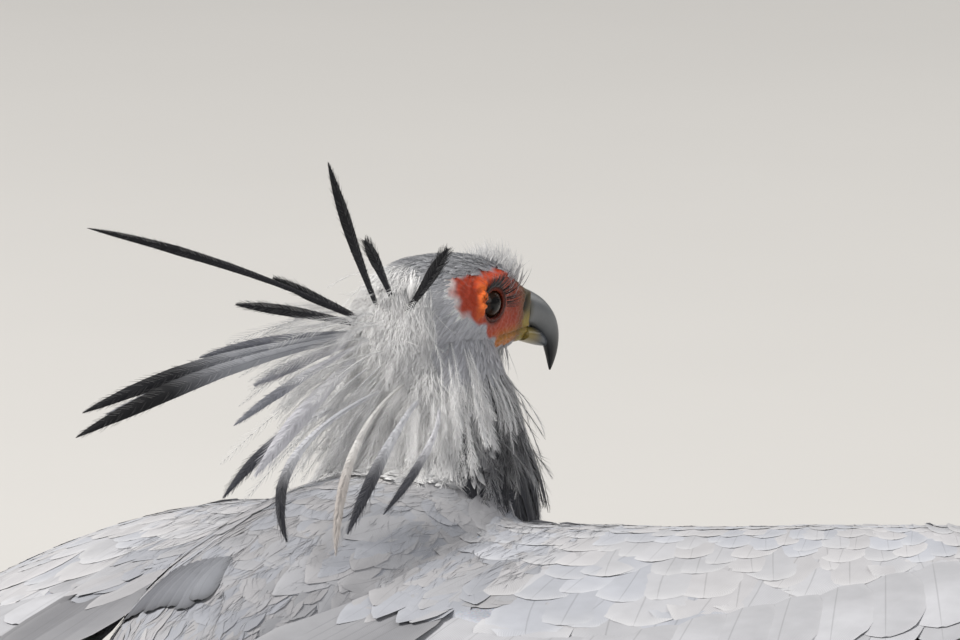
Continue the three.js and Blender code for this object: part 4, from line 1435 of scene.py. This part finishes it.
def dress_crest(skin_map, flight, shafts):
    """The long loose feathers of the crest: narrow solid vanes with separate barbs over them."""
    rows = [[CREST_ROOT, *entry] for entry in CREST] + CROWN
    curves = []
    for root, tip, rise, *_ in rows:
        root, tip = to_world(root), to_world(tip)
        curves.append([root, (root + tip) / 2 + [0, 0, rise], tip])
    curves += [entry[:3] for entry in DRAPED]
    roots, bends, tips = np.swapaxes(np.array(curves, float), 0, 1)
    looks = [entry[-3:] for entry in rows + DRAPED]
    widths = np.array([width for width, _, _ in looks], float)
    starts = np.array([srgb(start) for _, start, _ in looks])
    ends = np.array([srgb(end) for _, _, end in looks])
    centre = bezier(roots, bends, tips, LONG_STATIONS)
    side, up = crossed(centre, CREST_FACING)
    uv = skin_map.unwrap(roots)

    def paint(t, s):
        return mixed(starts[:, None], ends[:, None], smoothstep(0.45, 0.72, t)[None])

    solid = np.where(np.arange(len(widths)) < len(rows), 0.8, 0.7)
    add_vanes(flight, centre, side, up, widths * solid, LANCE, LONG_STATIONS, 7, uv, paint, 0.12, 0.4,
              np.linalg.norm(tips - roots, axis=1), 0.06)
    plumes(shafts, roots, bends, tips, up[:, 8], uv, widths, starts, ends, LANCE, barbs=90, thin=0.5,
           shaft=1.2)


def neck_front(p):
    """1 on the front and the sides of the neck, 0 behind."""
    away = p[:, :2] - spline(NECK, p[:, 2])[:, :2]
    return 1 - smoothstep(100, 138, np.abs(np.degrees(np.arctan2(away[:, 1], away[:, 0]))))


def neck_colour(p):
    """White behind, pale grey in front, grey near the shoulders, and nearly black on the lower front as
    painted shade over its grey.
    """
    front = neck_front(p)
    return painted(
        WHITE,
        (PALE_GREY, front * 0.6),
        (GREY, (1 - smoothstep(152, 180, p[:, 2])) * 0.6),
        # Painted shade on the lower front of the neck, over its grey
        (NECK_PAINTED_SHADE, front * (1 - smoothstep(197, 219, p[:, 2])) * 0.97),
    )


def on_face_side(c):
    local = to_head(c)
    return (local[:, 2] > -36) & (local[:, 0] > -34) & (np.abs(local[:, 1]) < 38) & (c[:, 2] > 216)


def dress_neck(skin_map, lance, hair):
    """Lance-shaped feathers close to the neck, loose plumes over them and fine filaments over all."""
    def weight(c):
        reach = np.hypot(c[:, 0] - 118, c[:, 1])
        return np.where((c[:, 2] > 171) & (reach < 84) & ~on_face_side(c), neck_share(c) + 0.1, 0)

    p, n, uv, count = skin_map.sample(NECK_DRAWS, weight, NECK_APART)
    tone = neck_colour(p) * jitter(count, 0.1)[:, None]
    stand = 3.5 + 2 * neck_front(p) * (1 - smoothstep(168, 205, p[:, 2]))
    lay_feathers(lance, skin_map, p, wobble(flow(p, n), 0.12), n, uv, rng.uniform(20, 30, count),
                 6.5 * jitter(count, 0.25), tone, mixed(tone, WHITE, 0.15), POINTED, rise=(0.5, stand),
                 camber=0.15, sway=rng.normal(0, 0.4, count), fray=0.2)
    p, n, uv, count = skin_map.sample(NECK_PLUME_DRAWS, weight, NECK_PLUME_APART)
    ahead = wobble(flow(p, n), 0.2)
    length = rng.uniform(26, 46, count)[:, None]
    streak = rng.random(count) < 0.08 + 0.32 * smoothstep(200, 216, p[:, 2])
    tone = mixed(neck_colour(p), WHITE, streak * 0.6)
    bend, tip = sprung(p, ahead, n, length, rng.uniform(0.1, 0.26, (count, 1)),
                       rng.uniform(-0.02, 0.2, (count, 1)))
    plumes(hair, p, bend, tip, n, uv, rng.uniform(5, 8.5, count), tone, mixed(tone, WHITE, 0.25), POINTED,
           barbs=18)
    p, n, uv, count = skin_map.sample(NECK_FILAMENTS, weight)
    flat_strands(hair, skin_map, p, wobble(flow(p, n), 0.22), n, uv, rng.uniform(14, 28, count), 0.5,
                 mixed(neck_colour(p), WHITE, 0.15) * jitter(count, 0.1)[:, None], (1, 6))


def dress_nape(skin_map, hair):
    """White plumes that fan back and down from the nape, and the down that they spring from."""
    count = NAPE_PLUMES
    root = xyz(rng.uniform(-70, -58, count), rng.uniform(-14, 30, count), rng.uniform(-64, 2, count))
    fall = smoothstep(-8, 62, -root[:, 2]) * 1.15 + rng.normal(0.02, 0.13, count)
    length = rng.uniform(30, 86, count) * (1 - 0.35 * (rng.random(count) < 0.5))
    tip = root + unit(xyz(-1, root[:, 1] * 0.012 + rng.normal(0, 0.14, count), -fall)) * length[:, None]
    bend = (root + tip) / 2 + xyz(0, 0, rng.uniform(2, 9, count))
    normal = turn_to_world(unit(xyz(-0.2, rng.normal(-0.9, 0.25, count), rng.uniform(0, 0.5, count))))
    tone = mixed(WHITE, PALE_GREY, rng.random(count) * 0.5)
    plumes(hair, to_world(root), to_world(bend), to_world(tip), normal, skin_map.unwrap(to_world(root)),
           rng.uniform(4, 9, count), tone, tone * 0.95, LANCE, barbs=26, thin=0.35)

    def weight(c):
        local = to_head(c)
        gap = np.linalg.norm((local - NAPE_AT) / NAPE_RADII, axis=1)
        return np.where((gap < 1.05) & (local[:, 0] < -34), 1.0, 0)

    # Painted highlight: the nape's white down painted a little brighter than white, as if brightly lit
    down = WHITE * 1.05
    p, n, uv, count = skin_map.sample(NAPE_DOWN, weight)
    flat_strands(hair, skin_map, p, wobble(flow(p, n), 0.25), n, uv, rng.uniform(10, 20, count), 0.5,
                 down * jitter(count, 0.03)[:, None], (2.5, 8))
    neck_locks(skin_map, hair)
    p, n, uv, count = skin_map.sample(NAPE_STRANDS, weight)
    strands(hair, p, wobble(flow(p, n), 0.5), n, uv, rng.uniform(7, 13, count), 0.45,
            np.tile(down, (count, 1)), lift=rng.uniform(0.3, 0.8, count), hug=0.3, steps=4)


# Long plumes that hang from the side of the neck over the shoulders: height of the root, angle round the
# neck from straight ahead, length, width
LOCKS = [
    [226, -150, 50, 8],
    [222, -168, 56, 9],
    [216, -138, 36, 8],
    [214, -182, 59, 9],
    [210, -158, 53, 8],
    [206, -128, 30, 7],
    [204, -174, 51, 9],
    [200, -146, 34, 8],
    [232, -134, 45, 7],
    [228, -118, 40, 7],
    [218, -106, 32, 7],
    [214, -88, 28, 5],
    [206, -112, 26, 6],
    [214, -200, 56, 9],
    [204, -216, 48, 8],
    [222, -225, 48, 8],
]


# Feathers that hang as a skirt round the lower front, their grey painted dark as painted shade: height of
# the root, count on a side, length
RUFF = [
    [212, 9, 62],
    [203, 11, 60],
    [194, 12, 56],
    [184, 13, 50],
    [174, 14, 42],
]


def neck_skirt(skin_map, vanes, hair):
    """Lance-shaped feathers round the lower front of the neck, their grey painted dark as painted shade,
    with a few pale streaks over them.
    """
    for height, each, long in RUFF:
        angle = np.radians(np.concatenate([np.linspace(12, 128, each), -np.linspace(12, 128, each)]))
        count = len(angle)
        angle = angle + rng.normal(0, 0.05, count)
        root = neck_surface(height + rng.normal(0, 3, count), angle, NECK_COAT)
        out = heading(angle)
        length = long * jitter(count, 0.12)[:, None]
        down = wobble(np.tile([-0.1, 0, -1.0], (count, 1)), 0.05)
        bend, tip = sprung(root, down, out, length, 0.26, 0.3)
        # Painted shade: the skirt's grey feathers darkened nearly to black
        tone = SKIRT_PAINTED_SHADE * jitter(count, 0.2)[:, None]
        centre = bezier(root, bend, tip, LONG_STATIONS)
        side, up = crossed(centre, out[:, None])
        uv = skin_map.unwrap(root)

        def paint(t, s, tone=tone):
            return tone[:, None] * (0.8 + 0.3 * np.abs(s))[None, :, None]

        add_vanes(vanes, centre, side, up, np.full(count, 11.0), POINTED, LONG_STATIONS, 5, uv, paint, 0.1,
                  0.3, length[:, 0], 0.15)
        pale = (rng.random(count) < 0.1)[:, None]
        streak = np.where(pale, SKIRT_STREAK, tone * 1.35)
        plumes(hair, root + out, bend + out, tip + out, out, uv, np.full(count, 9.0), streak, streak,
               POINTED, barbs=26, thin=0.38)


def neck_locks(skin_map, hair):
    height, turn, long, width = np.repeat(np.array(LOCKS, float), 3, axis=0).T
    count = len(height)
    height = height + rng.normal(0, 4, count)
    angle = np.radians(turn + rng.normal(0, 6, count))
    root = neck_surface(height, angle, NECK_COAT - 3)
    out = heading(angle)
    length = (long * jitter(count, 0.15))[:, None]
    down = wobble(np.tile([-0.12, 0, -1.0], (count, 1)), 0.1)
    bend, tip = sprung(root, down, out, length, 0.34, rng.uniform(0.3, 0.5, (count, 1)))
    tone = mixed(WHITE, PALE_GREY, rng.random(count) * 0.35)
    plumes(hair, root, bend, tip, unit(out + [0, 0, 0.3]), skin_map.unwrap(root), width, tone, tone, LANCE,
           barbs=34, thin=0.42)


def head_flow(local):
    """On the head feathers run back over the crown and back and down on the cheeks."""
    return turn_to_world(xyz(-1, 0, -1.1 + smoothstep(-14, 16, local[:, 2])))


def head_colour(local):
    tone = mixed(CHEEK_GREY, CROWN_GREY, smoothstep(8, 22, local[:, 2]))
    return mixed(tone, WHITE, smoothstep(20, 42, -local[:, 0]) * 0.75)


def dress_head(skin_map, small, hair):
    """Short smooth feathers on the crown and cheeks, finer hairs over them, longer ones on the throat."""
    def weight(c):
        local = to_head(c)
        x, y, z = local.T
        on_head = (x > -55) & (x < 50) & (np.abs(y) < 38) & (z > -37)
        return np.where(on_head & (bare_face(local) < 0.3), 1.0, 0)

    def throat(c):
        x, y, z = to_head(c).T
        return np.where((z < -27) & (x > -16) & (x < 46) & (z > -60) & (np.abs(y) < 42), 1.0, 0)

    p, n, uv, count = skin_map.sample(HEAD_DRAWS, weight, HEAD_APART)
    local = to_head(p)
    forward = smoothstep(0, 45, local[:, 0])
    tone = head_colour(local) * jitter(count, 0.1)[:, None]
    lay_feathers(small, skin_map, p, wobble(head_flow(local), 0.1), n, uv,
                 (12 - 5 * forward) * jitter(count, 0.2), (3.2 - 1.2 * forward) * jitter(count, 0.2), tone,
                 mixed(tone, WHITE, 0.12), POINTED, stations=(0, 0.35, 0.7, 1), columns=3, rise=(0.1, 1.3),
                 camber=0.15, thick=0.25, cling=4)
    p, n, uv, count = skin_map.sample(HEAD_HAIRS, weight)
    local = to_head(p)
    tone = mixed(head_colour(local), WHITE, rng.random(count) * 0.3) * jitter(count, 0.15)[:, None]
    flat_strands(hair, skin_map, p, wobble(head_flow(local), 0.2), n, uv, rng.uniform(6, 14, count), 0.32,
                 tone, (0.6, 2.2))
    p, n, uv, count = skin_map.sample(THROAT_HAIRS, throat)
    way = turn_to_world(unit(np.tile([-0.15, 0, -1.0], (count, 1))))
    tone = mixed(WHITE * 0.85, CROWN_GREY, rng.random(count) * 0.6)
    strands(hair, p, wobble(way, 0.22), n, uv, rng.uniform(10, 24, count), 0.42, tone,
            lift=rng.uniform(0.15, 0.7, count), hug=0.3, sway=rng.normal(0, 0.2, count))


# Face, bill and eyes

# Distance along the ridge, then how far forward and up, tilt in degrees, half depth, half width
UPPER_BILL = [
    [0, 56, -8.9, 0, 11.2, 10.8],
    [8, 64, -11.6, -14, 9.9, 9.2],
    [17, 72, -15.8, -30, 8.8, 7.8],
    [26, 78.6, -22.4, -52, 7.6, 6.2],
    [35, 82.2, -30.6, -78, 5.7, 4.6],
    [43, 83, -39, -92, 3.7, 3],
    [49, 82.6, -45, -98, 1.8, 1.6],
    [53, 82.2, -48.6, -98, 0.5, 0.5],
]
# Forward, half width, top, bottom
LOWER_BILL = [
    [56, 9.4, -19.4, -28.2],
    [63, 8, -20.9, -30.6],
    [71, 5.8, -23.6, -33],
    [77.5, 2.6, -28, -34.4],
]


def with_ends(colours):
    """Colours of a loft's rings with those of its two end points."""
    return np.concatenate([colours, colours[:1], colours[-1:]])


def make_bill():
    steps, around = 60, 48
    keys = np.linspace(0, 53, steps)
    angle = circle(around)
    x, z, tilt, deep, half = spline(UPPER_BILL, keys).T[..., None]
    tilt = np.radians(tilt)
    ridge = 1 + 0.06 * near(angle - np.pi / 2, 0.35)
    tuck = 1 - 0.12 * near(angle - 1.5 * np.pi, 0.6)
    rise = deep * np.sin(angle) * ridge * tuck
    points, faces = closed_loft(xyz(x - np.sin(tilt) * rise, half * np.cos(angle), z + np.cos(tilt) * rise))
    key = np.repeat(keys, around)
    colours = painted(HORN_GREY, (HORN_DARK, smoothstep(22, 44, key)),
                      (HORN_BASE, (1 - smoothstep(0.5, 5, key)) * 0.8))
    upper = make_object("bill_upper_dressed", to_world(points), faces, HORN, with_ends(colours))
    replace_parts(upper, "bill_upper")

    def lower_surface(k, a):
        half, top, bottom = spline(LOWER_BILL, k).T
        across, height = superellipse(a, half, (top - bottom) / 2, (top - bottom) / 2, 2)
        return xyz(k, across, (top + bottom) / 2 + height)

    points, faces = ring_loft(lower_surface, np.linspace(56, 77.5, 30), 32)
    colours = mixed(YELLOW * 0.75, LOWER_HORN, smoothstep(58, 72, points[:, 0]))
    lower = make_object("bill_lower_dressed", to_world(points), faces, HORN, colours)
    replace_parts(lower, "bill_lower")


def make_eyes():
    around = 48
    tilt = np.linspace(0.02, np.pi - 0.02, 40)
    off_axis = np.degrees(np.repeat(tilt, around))
    colours = painted(IRIS, (PUPIL, 1 - smoothstep(*PUPIL_END, off_axis)),
                      (IRIS_EDGE, smoothstep(*IRIS_DARKENS, off_axis)))
    for name, side in (("right", -1), ("left", 1)):

        def surface(k, a, side=side):
            ball = xyz(np.sin(k) * np.cos(a), side * np.cos(k), np.sin(k) * np.sin(a))
            return EYE_AT * [1, side, 1] + ball * (EYE_RADIUS * (1 + 0.05 * near(k, 0.5)))[:, None]

        points, faces = ring_loft(surface, tilt, around)
        eye = make_object(f"eye_{name}_dressed", to_world(points), faces, EYE, with_ends(colours))
        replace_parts(eye, f"eye_{name}")


def make_lashes(hair, skin_map):
    """Long black lashes over each eye and a brush of stiff pale feathers on the forehead."""
    count = LASHES
    for side in (-1, 1):
        turn = np.radians(np.linspace(-10, 170, count) + rng.normal(0, 4, count))
        rim = to_world(xyz(EYE_AT[0] + (LID_RADIUS + 1.2) * np.cos(turn), side * (EYE_AT[1] + 9.6),
                           EYE_AT[2] + (LID_RADIUS + 1.0) * np.sin(turn)))
        out = turn_to_world(xyz(np.cos(turn) * 0.5 - 0.1, side * 1.1, np.sin(turn) * 0.8))
        strands(hair, rim, out, np.tile([0, 0, 1.0], (count, 1)), skin_map.unwrap(rim),
                rng.uniform(7, 12, count), 0.8, np.tile(BLACK * 0.6, (count, 1)), lift=0.0, hug=-0.35,
                sway=rng.normal(0, 0.1, count))
    count = BRISTLES
    forward = rng.uniform(24, 50, count)
    side = rng.normal(0, 0.45, count)
    place = to_world(head_surface(forward, np.pi / 2 + side))
    out = turn_to_world(xyz(0.1 + 0.5 * rng.random(count), np.sin(-side) * 0.8 + rng.normal(0, 0.15, count),
                            0.9 + 0.2 * rng.random(count)))
    tone = mixed(WHITE, BRISTLE_GREY, rng.random(count) * 0.5)
    ahead = turn_to_world(np.tile([1.0, 0, 0], (count, 1)))
    length = rng.uniform(4, 8, count) + 13 * smoothstep(26, 38, forward) * rng.random(count)
    strands(hair, place, out, ahead, skin_map.unwrap(place), length, 0.62, tone, lift=0.0, hug=0.25,
            sway=rng.normal(0, 0.15, count))


def finish_legs():
    """The solids' legs and claws stay, with their own materials."""
    for name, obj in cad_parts.items():
        for start, material in (("tarsus", LEG), ("foot", LEG), ("claw", CLAW)):
            if name.startswith(start):
                obj.data.materials.clear()
                obj.data.materials.append(material)


# Camera, floor and light

# The camera's aim, its two angles, its distance and the width that it frames there
TARGET = np.array([146.3, -16.0, 243.8])
AZIMUTH = math.radians(300)
ELEVATION = math.radians(10)
DISTANCE = 7000.0
FRAME_WIDTH = 537.6
SENSOR = 36.0

# In metres
FLOOR_HALF = 60.0
# Place, aim, size, power and colour, in metres and watts
LIGHTS = {
    "key": ((-4.45, 3.4, 5.2), (0.05, 0, 0.2), 2.6, 780, (1.0, 0.97, 0.93)),
    "fill": ((-1.6, -3.2, 2.0), (0.1, 0, 0.15), 2.6, 30, (0.97, 0.98, 1.0)),
    "front": ((3.2, -0.8, 2.0), (0.1, 0, 0.15), 2.2, 22, (1.0, 0.98, 0.95)),
}


def place_facing(name, data, place, ahead):
    """A camera or light at a place in metres that looks along a direction."""
    obj = bpy.data.objects.new(name, data)
    obj.location = place
    obj.rotation_mode = "QUATERNION"
    obj.rotation_quaternion = Vector(ahead).to_track_quat("-Z", "Y")
    bpy.context.scene.collection.objects.link(obj)
    return obj


def set_camera():
    level = math.cos(ELEVATION)
    back = np.array([math.sin(AZIMUTH) * level, -math.cos(AZIMUTH) * level, math.sin(ELEVATION)])
    data = bpy.data.cameras.new("camera")
    data.sensor_width = SENSOR
    data.lens = SENSOR * DISTANCE / FRAME_WIDTH
    data.clip_start = 0.5
    data.clip_end = 200
    bpy.context.scene.camera = place_facing("camera", data, (TARGET + back * DISTANCE) * MM, -back)


def set_stage():
    """A wide pale floor, a warm key light, two weak lights and a grey surround."""
    mesh = bpy.data.meshes.new("floor")
    corners = np.array([(-1, -1, 0), (1, -1, 0), (1, 1, 0), (-1, 1, 0)]) * FLOOR_HALF
    mesh.from_pydata(corners.tolist(), [], [(0, 1, 2, 3)])
    mesh.materials.append(noisy_material("floor", 0.9, (3,), (0.98, 1.02), (0.62, 0.61, 0.59)))
    floor = bpy.data.objects.new("floor", mesh)
    bpy.context.scene.collection.objects.link(floor)
    for name, (place, aim, size, power, colour) in LIGHTS.items():
        light = bpy.data.lights.new(name, "AREA")
        light.shape = "DISK"
        light.size = size
        light.energy = power
        light.color = colour
        place_facing(name, light, place, Vector(aim) - Vector(place))
    world = bpy.data.worlds.new("studio")
    world.use_nodes = True
    surround = world.node_tree.nodes["Background"]
    surround.inputs["Color"].default_value = (0.84, 0.84, 0.85, 1)
    surround.inputs["Strength"].default_value = 0.36
    bpy.context.scene.world = world
    bpy.context.scene.view_settings.view_transform = "Standard"


set_camera()
set_stage()
skin = make_skin()
skin_map = SkinMap(skin)
body_coat = Coat("body_coat", CONTOUR, "plumage_grey")
wing_coat = Coat("wing_coverts", CONTOUR, "plumage_grey")
neck_coat = Coat("neck_and_head_coat", CONTOUR, "plumage_pale")
hair_coat = Coat("loose_strands", STRAND, "plumage_pale")
flight_coat = Coat("flight_feathers", FLIGHT, "plumage_black")
tail_coat = Coat("tail_feathers", FLIGHT, "plumage_barred")
crest_coat = Coat("crest_feathers", FLIGHT, "plumage_black")
shaft_coat = Coat("shafts", STRAND, "plumage_black")
dress_body(skin_map, body_coat, hair_coat)
for wing_name in WINGS:
    dress_wing(skin_map, wing_name, flight_coat, wing_coat, shaft_coat)
dress_tail(skin_map, tail_coat, shaft_coat)
dress_crest(skin_map, crest_coat, shaft_coat)
dress_neck(skin_map, neck_coat, hair_coat)
dress_nape(skin_map, hair_coat)
neck_skirt(skin_map, neck_coat, hair_coat)
dress_head(skin_map, neck_coat, hair_coat)
make_lashes(hair_coat, skin_map)
body_coat.build()
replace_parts(wing_coat.build()[0], "wing_arm_right", "wing_arm_left")
neck_coat.build()
hair_coat.build()
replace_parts(flight_coat.build()[0], "wing_hand_right", "wing_hand_left")
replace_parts(tail_coat.build()[0], "tail")
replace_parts(crest_coat.build()[0], "crest")
shaft_coat.build()
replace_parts(skin, "thigh_right", "thigh_left")
make_bill()
make_eyes()
finish_legs()
